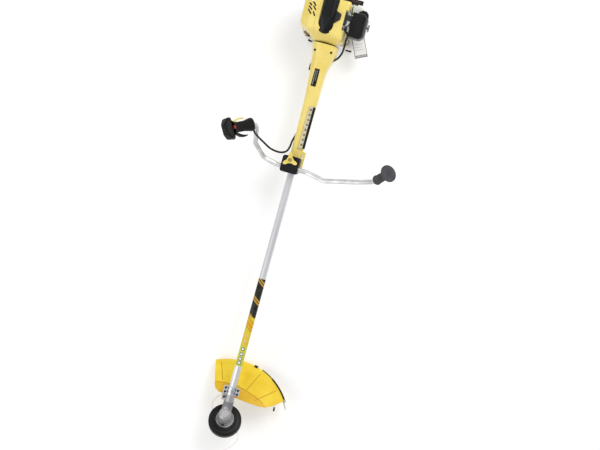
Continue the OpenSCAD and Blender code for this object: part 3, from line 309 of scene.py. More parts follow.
def turned(name, place, outline, finish, body, sides=64):
    """A ring or knob turned about its frame's Z from a closed outline of (radius, height) in mm."""
    points = []
    faces = []
    for k in range(sides):
        turn = 2 * math.pi * k / sides
        for radius, height in outline:
            local = Vector((radius * math.cos(turn), radius * math.sin(turn), height)) / 1000
            points.append(place @ local)
    count = len(outline)
    for k in range(sides):
        for i in range(count):
            j = (i + 1) % count
            l = (k + 1) % sides
            faces.append((k * count + i, l * count + i, l * count + j, k * count + j))
    return built(name, points, faces, finish, body)


# Drawn aluminium: silver, with faint lines along the tube from the die.
mill_aluminium = surface("drawn aluminium tube", "#c9cacd", "#e6e7ea", 0.34, 45, 3, 0.12, metallic=0.65,
                         stretch=(0.06, 1, 1))
# Ground steel: darker and smoother than the tube.
ground_steel = surface("ground steel shaft", "#8b8d90", "#a3a5a8", 0.25, 20, 1.5, 0.1, metallic=1.0)
# Sintered bronze: brown-gold and dull from its pores.
bronze = surface("sintered bronze bushing", "#8f6234", "#ad7f4b", 0.5, 8, 1.2, 0.3, metallic=1.0)
dress("drive_tube", mill_aluminium)
dress("drive_shaft pinion_gear output_gear", ground_steel)
dress("drive_bearings", bronze)

tube_radius = 14.0
film_thickness = 0.25
band_slant = 0.8
# a Mix node's colour sockets stand after those for numbers and vectors
colour_a, colour_b, mixed = 6, 7, 2
along_tube = Matrix.Translation(handle_at) @ Matrix.Rotation(math.pi / 2, 4, "Y")


def film(name, start, end, bands):
    """A printed film round the tube. bands are (share of its length, colour) along a slanted line."""
    made = bpy.data.materials.new(name.replace("_", " ") + " vinyl")
    made.use_nodes = True
    tree = made.node_tree
    tree.nodes.clear()
    place = add(tree, "TexCoord")
    axes = add(tree, "SeparateXYZ", {0: place.outputs["Object"]})
    # the bands run across the tube on a slant of about 40 degrees
    slant = add(tree, "Math", {0: axes.outputs["Y"], 1: -band_slant, 2: axes.outputs["X"]},
                operation="MULTIPLY_ADD")
    first = tube_point(start, 0, 0).x - handle_at.y * band_slant
    last = tube_point(end, 0, 0).x - handle_at.y * band_slant
    share = add(tree, "MapRange", {"Value": slant.outputs[0], "From Min": first, "From Max": last})
    print_ramp = add(tree, "ValToRGB", {"Fac": share.outputs[0]})
    print_ramp.color_ramp.interpolation = "CONSTANT"
    stops = print_ramp.color_ramp.elements
    stops[0].color = linear(bands[0][1])
    stops.remove(stops[1])
    for at, colour in bands[1:]:
        stops.new(at).color = linear(colour)
    fade = add(tree, "TexNoise", {"Vector": place.outputs["Object"], "Scale": 90, "Detail": 3})
    dust = add(tree, "MapRange", {"Value": fade.outputs["Fac"], "From Min": 0.3, "From Max": 0.8,
               "To Min": 0.0, "To Max": 0.05})
    colour = add(tree, "Mix", {"Factor": dust.outputs[0], colour_a: print_ramp.outputs[0],
                 colour_b: linear("#e9e4cf")}, data_type="RGBA")
    gloss = add(tree, "MapRange", {"Value": fade.outputs["Fac"], "To Min": 0.22, "To Max": 0.42})
    ripple = add(tree, "Bump", {"Height": fade.outputs["Fac"], "Strength": 0.08, "Distance": 0.0005})
    shader = add(tree, "BsdfPrincipled", {"Base Color": colour.outputs[mixed], "Roughness": gloss.outputs[0],
                 "Normal": ripple.outputs[0], "Specular IOR Level": 0.25})
    add(tree, "OutputMaterial", {"Surface": shader.outputs[0]})
    outer = tube_radius + film_thickness
    bevel = 0.5
    turned(name, along_tube, [(tube_radius, start), (outer, start + bevel), (outer, end - bevel),
           (tube_radius, end)], made, "machine")


# Printed vinyl: even colour under a satin clear layer, with dust caught in its ripples.
black_print = "#0f0e0c"
gold_print = "#c79a2b"
film("film_black", 445, 600, [(0, black_print), (0.02, gold_print), (0.06, black_print), (0.09, gold_print),
     (0.13, black_print), (0.5, gold_print), (0.54, black_print), (0.57, gold_print), (0.61, black_print),
     (0.95, gold_print)])
film("film_amber", 600, 655, [(0, "#d8c226"), (0.16, "#8f6d0a"), (0.2, "#e0a806"), (0.5, "#9a7208"),
                             (0.54, "#e0a806"), (0.78, "#8f6d0a"), (0.82, "#d8c226")])
film("film_yellow", 655, 714, [(0, "#dcc32c"), (0.3, "#d5bd33"), (0.36, "#dcc32c"), (0.66, "#d0b93c"),
     (0.72, "#dcc32c")])
film("film_lime", 714, 793, [(0, "#c9c93a"), (0.97, "#b9bb38")])

# Six plain printed discs along the top of the films.
disc_blue = surface("blue print", "#33425f", "#40506e", 0.35, 6, 1, 0.05)
disc_white = surface("white print", "#dfe3ea", "#f1f3f6", 0.35, 6, 1, 0.05)
disc_rose = surface("rose print", "#dfb08c", "#e6bd97", 0.35, 6, 1, 0.05)


def printed_disc(name, along, radius, lift, finish):
    """A printed disc that follows the tube's round, lift millimetres over its surface."""
    spokes = 28
    points = []
    for height in (0, lift):
        reach = tube_radius + height
        points.append(tube_point(along, 0, reach))
        for step in (0.5, 1.0):
            for k in range(spokes):
                turn = 2 * math.pi * k / spokes
                side = step * radius * math.sin(turn) / tube_radius
                points.append(tube_point(along + step * radius * math.cos(turn), reach * math.sin(side),
                                         reach * math.cos(side)))
    layer = 1 + 2 * spokes
    faces = []
    for k in range(spokes):
        n = (k + 1) % spokes
        for base in (0, layer):
            faces.append((base, base + 1 + k, base + 1 + n))
            faces.append((base + 1 + k, base + 1 + spokes + k, base + 1 + spokes + n, base + 1 + n))
        faces.append((1 + spokes + k, layer + 1 + spokes + k, layer + 1 + spokes + n, 1 + spokes + n))
    built(name, points, faces, finish, "machine")


for index, along in enumerate((726, 746, 764, 780)):
    printed_disc(f"disc_rim_{index}", along, 7.2, 0.4, disc_blue)
    printed_disc(f"disc_face_{index}", along, 4.6, 0.55, disc_white)
for index, along in enumerate((672, 694)):
    printed_disc(f"disc_rose_{index}", along, 5.5, 0.4, disc_rose)

# ---- Gear case ----
# Two bevel gears turn the drive through 60 degrees in a die-cast aluminium case. The split neck is left
# bright where it grips the tube, the arm is painted dark grey, and the boss over the spindle is worn.

spindle_reach_mm = 996
neck_back_mm = 58
neck_end = tube_point(spindle_reach_mm - neck_back_mm, 0, 0).x
boss_radius = 0.027
cast_case = bpy.data.materials.new("sand-grey paint on die-cast aluminium")
cast_case.use_nodes = True
tree = cast_case.node_tree
tree.nodes.clear()
place = add(tree, "TexCoord")
axes = add(tree, "SeparateXYZ", {0: place.outputs["Object"]})
# cast skin: grains of about 2 mm
skin = add(tree, "TexNoise", {"Vector": place.outputs["Object"], "Scale": 500, "Detail": 3})
broad = add(tree, "TexNoise", {"Vector": place.outputs["Object"], "Scale": 40, "Detail": 2})
paint = add(tree, "ValToRGB", {"Fac": broad.outputs["Fac"]})
paint.color_ramp.elements[0].color = linear("#6c6d70")
paint.color_ramp.elements[1].color = linear("#85868a")
# bright metal shows where the paint ends: on the neck, by place along the tube, and on the boss, by its
# distance from the spindle
neck = add(tree, "MapRange", {"Value": axes.outputs["X"], "From Min": neck_end,
           "From Max": neck_end - 0.002})
offset = add(tree, "VectorMath", {0: place.outputs["Object"], 1: spindle_at}, operation="SUBTRACT")
sideways = add(tree, "VectorMath", {0: offset.outputs[0], 1: spindle_up}, operation="CROSS_PRODUCT")
reach = add(tree, "VectorMath", {0: sideways.outputs[0]}, operation="LENGTH")
boss = add(tree, "MapRange", {"Value": reach.outputs["Value"], "From Min": boss_radius,
           "From Max": boss_radius - 0.005, "To Max": 0.85})
bare = add(tree, "Math", {0: neck.outputs[0], 1: boss.outputs[0]}, operation="MAXIMUM")
tone = add(tree, "Mix", {"Factor": bare.outputs[0], colour_a: paint.outputs[0],
           colour_b: linear("#b3b1b0")}, data_type="RGBA")
shine = add(tree, "MapRange", {"Value": bare.outputs[0], "To Min": 0.15, "To Max": 0.9})
gloss = add(tree, "MapRange", {"Value": skin.outputs["Fac"], "To Min": 0.36, "To Max": 0.58})
bump = add(tree, "Bump", {"Height": skin.outputs["Fac"], "Strength": 0.35, "Distance": 0.0004})
shader = add(tree, "BsdfPrincipled", {"Base Color": tone.outputs[mixed], "Metallic": shine.outputs[0],
             "Roughness": gloss.outputs[0], "Normal": bump.outputs[0]})
add(tree, "OutputMaterial", {"Surface": shader.outputs[0]})
dress("gear_case", cast_case, edge=0.8)

# ---- Line head ----
# A bump-feed head of glass-filled nylon hangs under a zinc-plated steel dish. The spool inside holds the
# line, and a spring presses the bump knob out.

# Zinc-plated pressed steel: near white and satin, from a thick fine-grained plating.
zinc_dish = surface("zinc-plated pressed steel", "#cfd3d9", "#eaeef3", 0.3, 14, 1.5, 0.08, metallic=0.25)
# Glass-filled nylon: black, satin, with a fine speckle of fibre ends.
black_nylon = surface("black glass-filled nylon", "#08080a", "#131315", 0.42, 25, 2.2, 0.16, specular=0.28)
# Spring steel wire: dark and smooth.
spring_steel = surface("spring steel wire", "#57595d", "#74767a", 0.3, 10, 1, 0.1, metallic=1.0)
dress("holder_dish", zinc_dish, edge=0.4)
dress("head_housing line_spool", black_nylon, edge=0.5)
dress("spool_spring", spring_steel)

# ---- Guard ----
# The debris guard is moulded polypropylene, 3 mm thick and yellow right through, and hangs from a bright
# steel bracket round the tube. Ribs run outward over it, a step crosses it, and trim and a cutter blade
# are clipped to its left rim.

# the guard's top in millimetres: its height at the inner edge, that edge's radius, and its fall
guard_crown, guard_inner, guard_fall = 7, 66, 0.2
# the step's line on it: how far back of the spindle, its slope, and its curve per millimetre
step_back, step_slope, step_curve = 129.7, 0.075, 0.00174

# Moulded polypropylene: warm yellow and satin, with slow drifts of tone from the mould.
guard_yellow = surface("moulded yellow polypropylene", "#edc41f", "#fbdc3c", 0.36, 70, 2.5, 0.12,
                       specular=0.35)
# Ahead of the step the guard is painted a deeper yellow: painted shade on the face past the step.
tree = guard_yellow.node_tree
shader = tree.nodes["Principled BSDF"]
place = add(tree, "TexCoord")
offset = add(tree, "VectorMath", {0: place.outputs["Object"], 1: spindle_at}, operation="SUBTRACT")
ahead = add(tree, "VectorMath", {0: offset.outputs[0], 1: spindle_front}, operation="DOT_PRODUCT")
aside = add(tree, "VectorMath", {0: offset.outputs[0], 1: spindle_left}, operation="DOT_PRODUCT")
curve = add(tree, "Math", {0: aside.outputs["Value"], 1: step_curve * 1000, 2: step_slope},
            operation="MULTIPLY_ADD")
step = add(tree, "Math", {0: aside.outputs["Value"], 1: curve.outputs[0], 2: -step_back / 1000},
           operation="MULTIPLY_ADD")
past = add(tree, "Math", {0: ahead.outputs["Value"], 1: step.outputs[0]}, operation="SUBTRACT")
# painted shade: a deeper amber mixed into the guard ahead of the step line
deep = add(tree, "MapRange", {"Value": past.outputs[0], "From Min": 0.0, "From Max": 0.002, "To Max": 0.55})
tone = add(tree, "Mix", {"Factor": deep.outputs[0],
           colour_a: shader.inputs["Base Color"].links[0].from_socket,
           colour_b: linear("#d89a0c")}, data_type="RGBA")
tree.links.new(tone.outputs[mixed], shader.inputs["Base Color"])

# Zinc-plated plate: bright, with the fine lines of the rolling mill.
plated_plate = surface("zinc-plated steel plate", "#b4b7bb", "#dcdee1", 0.28, 18, 2, 0.1, metallic=1.0,
                       stretch=(1, 0.3, 1))
# Vulcanised rubber: black and dull.
rubber = surface("black vulcanised rubber", "#09090a", "#151516", 0.62, 20, 2.2, 0.25, specular=0.3)
dress("guard", guard_yellow)
dress("guard_bracket guard_bracket_cap", plated_plate, edge=0.6)
dress("guard_edge_trim", rubber)
dress("line_knife", ground_steel)


def guard_rib(name, route, width, height, finish):
    """A low rib along route, points (x, y) in the head's frame, on the guard's sloping top."""
    points = []
    for i, (x, y) in enumerate(route):
        ahead = Vector(route[min(i + 1, len(route) - 1)]) - Vector(route[max(i - 1, 0)])
        side = Vector((-ahead.y, ahead.x)).normalized() * width / 2
        for share, lift in ((1, -0.3), (0.5, height), (-0.5, height), (-1, -0.3)):
            rib_x, rib_y = x + share * side.x, y + share * side.y
            top = guard_crown - guard_fall * (math.hypot(rib_x, rib_y) - guard_inner)
            points.append(head_point(rib_x, rib_y, top + lift))
    last = 4 * (len(route) - 1)
    faces = [(3, 2, 1, 0), (last, last + 1, last + 2, last + 3)]
    for i in range(len(route) - 1):
        for k in range(4):
            n = (k + 1) % 4
            faces.append((4 * i + k, 4 * i + n, 4 * i + 4 + n, 4 * i + 4 + k))
    built(name, points, faces, finish, "machine")


def frame_along(at, direction):
    """A frame at a point: its Z runs along a direction, and its Y stays level."""
    z = Vector(direction).normalized()
    y = Vector((0, 0, 1)).cross(z) if abs(z.z) < 0.9999 else Vector((0, 1, 0))
    y.normalize()
    x = y.cross(z)
    return Matrix(((x.x, y.x, z.x, at[0]), (x.y, y.y, z.y, at[1]), (x.z, y.z, z.z, at[2]), (0, 0, 0, 1)))


def rim_band(name, section, start, end, finish):
    """A band round the guard's rim, from angle start to end in degrees towards the left of straight
    back. section is its (radius, height) outline in the head's frame."""
    steps = max(2, round((end - start) / 1.5))
    points = []
    for i in range(steps + 1):
        turn = math.radians(start + (end - start) * i / steps)
        points += [head_point(-r * math.cos(turn), r * math.sin(turn), z) for r, z in section]
    count = len(section)
    faces = [tuple(range(count))[::-1], tuple(range(count * steps, count * steps + count))]
    for i in range(steps):
        for k in range(count):
            n = (k + 1) % count
            faces.append((i * count + k, i * count + n, i * count + count + n, i * count + count + k))
    built(name, points, faces, finish, "machine", edge=0.4)


# Rib: the guard's own plastic, painted darker along the ribs and the step as their shade.
rib_shade_yellow = surface("polypropylene rib in painted shade", "#c1930c", "#cfa014", 0.4, 30, 2.5, 0.1, specular=0.35)
for index, (angle, inner, outer) in enumerate(((21.5, 135, 224), (45, 131, 229), (-21, 149, 229))):
    turn = math.radians(angle)
    spread = [inner + (outer - inner) * i / 8 for i in range(9)]
    rib_route = [(-r * math.cos(turn), r * math.sin(turn)) for r in spread]
    guard_rib(f"guard_rib_{index}", rib_route, 3.2, 0.9, rib_shade_yellow)
step_line = [(-step_back + step_slope * y + step_curve * y * y, y) for y in range(-78, 129, 6)]
guard_rib("guard_step", step_line, 3.0, 0.8, rib_shade_yellow)
trim_section = [(240, -28.5), (243, -27.5), (246.5, -30.5), (247.6, -36), (247.6, -46), (245.1, -46),
                (245.1, -34), (242, -31)]
clip_section = [(236, -28), (237, -25.6), (242, -26), (246.3, -28.6), (248, -34), (248, -40), (244.8, -40),
                (244.8, -34), (240, -30)]
tab_section = [(238, -27.5), (238, -25.6), (247, -30), (248.5, -36), (246.8, -36), (245, -31)]
rim_band("trim_lip", trim_section, 33, 55.5, rubber)
rim_band("trim_clip", clip_section, 12, 15.2, rubber)
rim_band("cutter_tab", tab_section, 56.2, 58.4, plated_plate)

# A plain steel pin with a rubber end stands out of the guard's front left corner.
pin_foot, pin_tip = head_point(-104, 172, -24), head_point(-80, 174.5, -27)
pin_place = frame_along(pin_foot, pin_tip - pin_foot)
turned("corner_pin", pin_place, [(0.2, 0), (1.3, 0), (1.3, 14), (0.2, 14)], plated_plate, "machine", 20)
turned("corner_pin_end", pin_place, [(0.2, 9), (2.4, 9), (3.4, 11), (3.4, 23.5), (2.2, 25), (0.2, 25)],
       rubber, "machine", 24)

# ---- Handle clamp and knob ----
# Three blocks of glass-filled nylon clamp the handlebar over the tube. A moulded three-arm knob on a steel
# screw lets the handlebar tilt.

# Knob plastic: pale yellow ABS, glossy on the crowns of its arms.
knob_yellow = surface("moulded yellow knob", "#e6cd62", "#f3e08e", 0.3, 25, 2.5, 0.1)
# Passivated brass-coloured screw head: dark gold.
passivated = surface("yellow-passivated steel", "#6d5a26", "#8f7a3c", 0.35, 6, 1.2, 0.15, metallic=0.9)
dress("clamp_lower clamp_middle clamp_top", black_nylon, edge=1.2)
dress("clamp_knob", knob_yellow, edge=1.6)
knob_at = Vector(joint["knob_turn"]["pos_m"])
knob_top = max(c[2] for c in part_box("clamp_knob"))
head_height = 0.003
knob_place = Matrix.Translation((knob_at.x, knob_at.y, knob_top - head_height))
turned("knob_screw_head", knob_place, [(2.6, 0), (6.6, 0), (6.6, 2.2), (5.6, 3.0), (3.4, 3.0), (2.6, 1.2)],
       passivated, "handle_knob", 40)

# ---- Handlebar and grips ----
# A bent aluminium bar, 20 mm across, carries a moulded rubber grip at its left end and the throttle grip,
# with its trigger, yellow lockout and red stop switch, at its right end.

# Anodised aluminium: satin from etching, bright and a little cool.
anodised = surface("anodised aluminium bar", "#cfd0d4", "#ececee", 0.34, 35, 2.5, 0.1, metallic=0.75)
# Grip rubber: mid grey thermoplastic rubber with a matt grain.
grip_rubber = surface("grey thermoplastic rubber", "#3b3b40", "#4b4b50", 0.6, 22, 2, 0.3, specular=0.35)
# Throttle housing: near-black ABS with a spark-eroded grain.
throttle_black = surface("grained black ABS", "#070708", "#111112", 0.45, 24, 2, 0.28, specular=0.2)
# Lockout lever and switch: ABS coloured right through, smooth where a thumb rests.
lockout_yellow = surface("moulded yellow lockout", "#e4d96a", "#f1e996", 0.32, 12, 1.6, 0.1)
switch_red = surface("moulded red switch", "#84191d", "#a3282c", 0.34, 8, 1.2, 0.12)
dress("handlebar", anodised)
dress("left_grip", grip_rubber, edge=0.8)
dress("throttle_grip", throttle_black, edge=1.2)
dress("throttle_trigger", throttle_black, edge=0.6)
dress("lockout_lever", lockout_yellow, edge=0.6)
dress("stop_switch", switch_red, edge=0.5)

# Raised rings round the left grip, each 3 mm wide and half sunk in the rubber.
left_place = frame_along(tube_point(-44, 330, 145), (-0.465, 0.465, 0.754))
first_ring, ring_pitch, ring_count = 12, 6.2, 9
waist_radius, waist_height = 16.15, 40
for index in range(ring_count):
    height = first_ring + ring_pitch * index
    reach = waist_radius + 0.9 * abs(height - waist_height) / waist_height
    ring_outline = [(reach - 1, height - 1.6), (reach + 0.3, height - 1.2), (reach + 0.9, height),
                    (reach + 0.3, height + 1.2), (reach - 1, height + 1.6)]
    turned(f"left_grip_ring_{index}", left_place, ring_outline, grip_rubber, "handle", 48)

# ---- Throttle cable ----
# A sheathed steel cable runs from the throttle grip in a free bow to the shaft cover, through it and on to
# the carburettor. Its PVC sheath is extruded, black and satin.


def hose(name, route, radius, finish):
    """A round hose as a mesh, through route, points in the row frame."""
    sides = 16
    points = []
    side = None
    last = len(route) - 1
    for i, here in enumerate(route):
        ahead = (route[min(i + 1, last)] - route[max(i - 1, 0)]).normalized()
        side = ahead.orthogonal() if side is None else side - side.dot(ahead) * ahead
        side.normalize()
        across = ahead.cross(side)
        for k in range(sides):
            turn = 2 * math.pi * k / sides
            points.append(here + radius * (side * math.cos(turn) + across * math.sin(turn)))
    faces = [tuple(range(sides))[::-1], tuple(range(last * sides, last * sides + sides))]
    for i in range(last):
        for k in range(sides):
            n = (k + 1) % sides
            faces.append((i * sides + k, i * sides + n, i * sides + sides + n, i * sides + sides + k))
    return built(name, points, faces, finish, None, fold=60)


def smooth_route(points, steps):
    """A smooth line through points, with steps between each two."""
    route = []
    for i in range(len(points) - 1):
        a, b = points[max(i - 1, 0)], points[i]
        c, d = points[i + 1], points[min(i + 2, len(points) - 1)]
        for s in range(steps):
            t = s / steps
            route.append(0.5 * (2 * b + (c - a) * t + (2 * a - 5 * b + 4 * c - d) * t * t
                                + (3 * b - a - 3 * c + d) * t ** 3))
    return route + [points[-1]]


engine_at = Vector(joint["crank_spin"]["pos_m"])


def engine_point(x, y, z):
    """A point in the engine's own frame, in millimetres from the crank's middle, to the row frame."""
    return engine_at + Vector((x, y, z)) / 1000


# PVC sheath: black, satin, with faint lengthwise waves.
pvc_sheath = surface("extruded PVC sheath", "#09090b", "#171719", 0.38, 30, 3, 0.15, specular=0.35)
cable_route = [tube_point(*p) for p in (
    (-104, -166, 160), (-95, -160, 150), (-84, -147, 130), (-69, -124, 101), (-54, -99, 76), (-48, -72, 56),
    (-50, -52, 42), (-60, -37, 28), (-80, -31, 16), (-104, -29, 8), (-130, -22, 5), (-160, -18, 5),
    (-220, -18, 5), (-300, -18.5, 5))]
cable_route += [engine_point(*p) for p in (
    (225, -19, 5), (205, -16, 16), (189, 2, 25), (175, 26, 22), (161, 44, 17), (145, 59, 15), (125, 68, 16),
    (103, 71, 19), (77, 71, 28), (62, 73, 42), (53, 73, 60), (49, 71, 78), (45, 64, 88), (41, 61.2, 91),
    (36.3, 61, 91))]
sheath_radius = 0.0039
cable = hose("throttle_cable_sheath", smooth_route(cable_route, 5), sheath_radius, pvc_sheath)
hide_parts("throttle_cable")
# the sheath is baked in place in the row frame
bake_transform(cable)

# ---- Shaft covers, harness rail and name plate ----
# Two half shells of moulded yellow ABS close round the tube before the engine. A bright steel rail with
# eight holes for the harness hook, a rubber strip and a bare black plate sit on the upper one.

# Shell plastic: pale warm yellow ABS, glossy, with a soft moulded ripple.
shell_yellow = surface("moulded yellow ABS", "#ecd266", "#f3de82", 0.27, 90, 4, 0.05, coat=0.35)
# Bright rail: zinc-plated and passivated, with a faint golden cast.
rail_steel = surface("passivated steel rail", "#cfc8a4", "#ebe8d8", 0.3, 12, 1.6, 0.12, metallic=0.6)
# Name plate: anodised aluminium sheet, black and satin.
plate_black = surface("black anodised plate", "#0d0d0f", "#18181a", 0.4, 20, 2, 0.1, specular=0.3)
dress("shaft_cover_upper shaft_cover_lower", shell_yellow)
dress("harness_rail", rail_steel, edge=0.5)
dress("rail_pad", rubber, edge=1.0)
dress("name_plate", plate_black, edge=0.3)


def slab(name, place, low, high, finish, body, edge):
    """A block with small radii, from its low to its high corner in millimetres in the frame place."""
    corners = [(x, y, z) for x in (low[0], high[0]) for y in (low[1], high[1]) for z in (low[2], high[2])]
    points = [place @ (Vector(c) / 1000) for c in corners]
    faces = [(0, 1, 3, 2), (4, 6, 7, 5), (0, 4, 5, 1), (2, 3, 7, 6), (0, 2, 6, 4), (1, 5, 7, 3)]
    return built(name, points, faces, finish, body, 40, edge)


# The plate is bare but for two plain pale stripes.
stripe_grey = surface("printed grey stripe", "#8f9092", "#a9aaab", 0.4, 8, 1.2, 0.05)
plate_lean = math.radians(4.5)
plate_place = Matrix.Translation(engine_point(242, -5, 36.4)) @ Matrix.Rotation(plate_lean, 4, "Y")
for name, low, high in (("plate_stripe_long", (-29, -5.6, 1.5), (29, -3.4, 1.75)),
                        ("plate_stripe_short", (-29, 1.6, 1.5), (12, 3.0, 1.75))):
    slab(name, plate_place, low, high, stripe_grey, "machine", 0.08)

# A black rubber clip grips the right edge of the shaft cover, over the joint of its halves.
slab("cover_edge_clip", Matrix.Translation(tube_point(-400, -38.4, 3)), (-13, -3.4, -6), (13, 2.8, 10),
     rubber, "machine", 1.6)

# A dark rubber seal closes the joint between the shaft cover and the engine cover. It is a rounded
# rectangle, whose reach in millimetres differs to each side of the tube.
seal_x = -498.2
seal_left, seal_right, seal_up, seal_down = 47, 52, 69, 51
seal_squareness = 0.85
seal_radius = 0.0019
seal_points = 72
seal_route = []
for index in range(seal_points):
    turn = 2 * math.pi * index / seal_points
    wide = -seal_right if math.cos(turn) < 0 else seal_left
    high = seal_up if math.sin(turn) > 0 else -seal_down
    seal_route.append(tube_point(seal_x, wide * abs(math.cos(turn)) ** seal_squareness,
                                 high * abs(math.sin(turn)) ** seal_squareness))
seal = curve_wire("cover_seal", seal_route, seal_radius, rubber, "machine", closed=True)

# ---- Clutch, fan and engine core ----
# A two-stroke engine: cast aluminium case and finned cylinder, forged crank, and a fan flywheel whose shoes
# fly out into a steel drum. Most of it lies under the covers.

# Die-cast aluminium: light grey, with the grain of the die.
die_cast = surface("die-cast aluminium", "#a2a3a5", "#c6c7c8", 0.42, 30, 2.5, 0.3, metallic=0.9)
# Sand-cast aluminium: duller and coarser than the die castings.
sand_cast = surface("sand-cast aluminium", "#77787b", "#95969a", 0.58, 22, 3, 0.6, metallic=0.7)
# Turned steel: lines round the shaft from the tool.
turned_steel = surface("turned steel", "#7f8185", "#9a9ca0", 0.3, 14, 1.4, 0.15, metallic=1.0,
                       stretch=(1, 0.2, 0.2))
# Friction lining: brown-black, matt and crumbly.
lining = surface("moulded friction lining", "#35302b", "#4d463f", 0.85, 6, 1.4, 0.6)
# Glazed alumina: white with a deep gloss.
glazed_ceramic = surface("glazed alumina ceramic", "#e4e2da", "#f2f0ea", 0.14, 12, 3, 0.03, coat=0.5)
dress("clutch_housing", die_cast, edge=0.8)
dress("clutch_drum", turned_steel)
dress("clutch_shoes", lining, edge=0.4)
dress("flywheel_fan", die_cast)
dress("crankshaft piston_and_rod", turned_steel)
dress("crankcase finned_cylinder", sand_cast, edge=0.5)
dress("spark_plug", glazed_ceramic)

# ---- Engine cover and plug cover ----
# The engine's cover is one deep moulding in the same ABS as the shaft covers, with slanted louvres. A
# glossy black moulding closes its top over the spark plug.

# Plug cover: injection-moulded nylon, deep black with a polished skin.
polished_nylon = surface("polished black nylon", "#060607", "#101113", 0.3, 45, 4, 0.06, specular=0.25)
dress("engine_cover", shell_yellow)
dress("plug_cover", polished_nylon, edge=0.8)

# A crease of the moulding, laid on the cover's skin from above: the same ABS, darker in its shade.
cover_mesh = frame["nodes"]["engine_cover"].data
cover_skin = BVHTree.FromPolygons([v.co for v in cover_mesh.vertices],
                                  [tuple(p.vertices) for p in cover_mesh.polygons])
crease_yellow = surface("crease in yellow ABS", "#c9a850", "#d6b860", 0.4, 20, 3, 0.08)


def laid_line(name, route, width, finish):
    """A thin line along route, (x, y) in the engine's frame, on the top of the cover's skin."""
    spread = []
    spacing = 5
    above = 200
    for a, b in zip(route, route[1:]):
        steps = max(1, round(math.dist(a, b) / spacing))
        spread += [Vector(a).lerp(Vector(b), s / steps) for s in range(steps)]
    spread.append(Vector(route[-1]))
    points = []
    for i, here in enumerate(spread):
        ahead = spread[min(i + 1, len(spread) - 1)] - spread[max(i - 1, 0)]
        side = Vector((-ahead.y, ahead.x)).normalized() * width / 2
        for share, lift in ((1, -0.4), (0.6, 0.25), (-0.6, 0.25), (-1, -0.4)):
            eye = engine_point(here.x + share * side.x, here.y + share * side.y, above)
            hit = cover_skin.ray_cast(eye, Vector((0, 0, -1)))[0]
            points.append(hit + Vector((0, 0, lift / 1000)))
    last = 4 * (len(spread) - 1)
    faces = [(3, 2, 1, 0), (last, last + 1, last + 2, last + 3)]
    for i in range(len(spread) - 1):
        for k in range(4):
            n = (k + 1) % 4
            faces.append((4 * i + k, 4 * i + n, 4 * i + 4 + n, 4 * i + 4 + k))
    built(name, points, faces, finish, "machine")


laid_line("cover_crease", [(87, -50), (60, -56), (25, -57), (-20, -55), (-50, -48)], 2.2, crease_yellow)

# ---- Muffler ----
# Two deep-drawn steel pressings folded together at a seam, browned by the heat of the exhaust.

# Heat-tinted steel: grey with straw and brown clouds.
heated_steel = surface("heat-tinted steel", "#6f665e", "#97938e", 0.46, 24, 2.5, 0.2, metallic=0.8)
dress("muffler", heated_steel, edge=0.6)

# ---- Carburettor, choke and air filter ----
# A zinc die-cast carburettor sits behind a black filter box. A steel arm on its top pulls open against a
# spring when the cable's inner wire draws it.

# Passivated zinc die-casting: charcoal grey with a fine metallic grain.
zinc_cast = surface("black-passivated zinc die-casting", "#2c2d2e", "#4b4c4d", 0.4, 14, 1.8, 0.3,
                    metallic=0.6)
# Primer bulb: amber fuel-proof rubber; light passes a little way into it.
bulb_rubber = surface("amber fuel-proof rubber", "#b49f62", "#cdbb80", 0.3, 6, 1.2, 0.08)
dress("carburettor", zinc_cast, edge=0.6)
dress("throttle_arm", plated_plate, edge=0.3)
dress("choke_lever", black_nylon, edge=0.4)
dress("primer_bulb", bulb_rubber)

# Filter box: polished black, with a painted grey reflection where its outer end rounds over.
filter_black = surface("black filter moulding", "#080908", "#131412", 0.3, 35, 3, 0.08, specular=0.25)
tree = filter_black.node_tree
shader = tree.nodes["Principled BSDF"]
place = add(tree, "TexCoord")
axes = add(tree, "SeparateXYZ", {0: place.outputs["Object"]})
outer_end = engine_point(0, 139, 0).y
reflection_width = 0.012
# painted reflection: pale grey mixed into the black towards the case's outer end
painted_reflection = add(tree, "MapRange", {"Value": axes.outputs["Y"], "From Min": outer_end - reflection_width,
            "From Max": outer_end, "To Max": 0.3})
tone = add(tree, "Mix", {"Factor": painted_reflection.outputs[0],
           colour_a: shader.inputs["Base Color"].links[0].from_socket,
           colour_b: linear("#a9adb0")}, data_type="RGBA")
tree.links.new(tone.outputs[mixed], shader.inputs["Base Color"])
dress("air_filter_case", filter_black, edge=0.8)
dress("air_filter_cover", filter_black)

engine_frame = Matrix.Translation(engine_at)
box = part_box("air_filter_case")
case_low = [(min(c[k] for c in box) - engine_at[k]) * 1000 for k in range(3)]
case_high = [(max(c[k] for c in box) - engine_at[k]) * 1000 for k in range(3)]
# four ribs stiffen the top of the case, each 1.8 mm wide
rib_inset, rib_pitch, rib_width = 14, 4.6, 1.8
for index in range(4):
    y = case_low[1] + 3 + rib_pitch * index
    low = (case_low[0] + rib_inset, y, case_high[2] - 1)
    high = (case_high[0] - rib_inset, y + rib_width, case_high[2] + 1.2)
    slab(f"filter_rib_{index}", engine_frame, low, high, filter_black, "machine", 0.5)

# The arm's return spring and the bare end of the cable's inner wire.
coil_turns, coil_steps, coil_radius, coil_length = 6, 16, 2.4, 10
coil_wire_radius = 0.0004
coil = []
for index in range(coil_turns * coil_steps + 1):
    turn = 2 * math.pi * index / coil_steps
    coil.append(engine_point(24 + coil_length * index / (coil_turns * coil_steps),
                             60.5 + coil_radius * math.cos(turn), 92 + coil_radius * math.sin(turn)))
curve_wire("return_spring", coil, coil_wire_radius, spring_steel, "machine")
inner_wire_radius = 0.0008
inner_wire = [engine_point(36.5, 61, 91), engine_point(30, 60.6, 91.6), engine_point(25, 60, 92)]
curve_wire("cable_inner_wire", inner_wire, inner_wire_radius, ground_steel, "machine")

# ---- Fuel tank, stand and leads ----
# The tank is blow-moulded polyethylene. It carries a ribbed black cap and stands on a black nylon foot.
# A fuel hose and the stop switch's wires run up from it and from the fan housing.

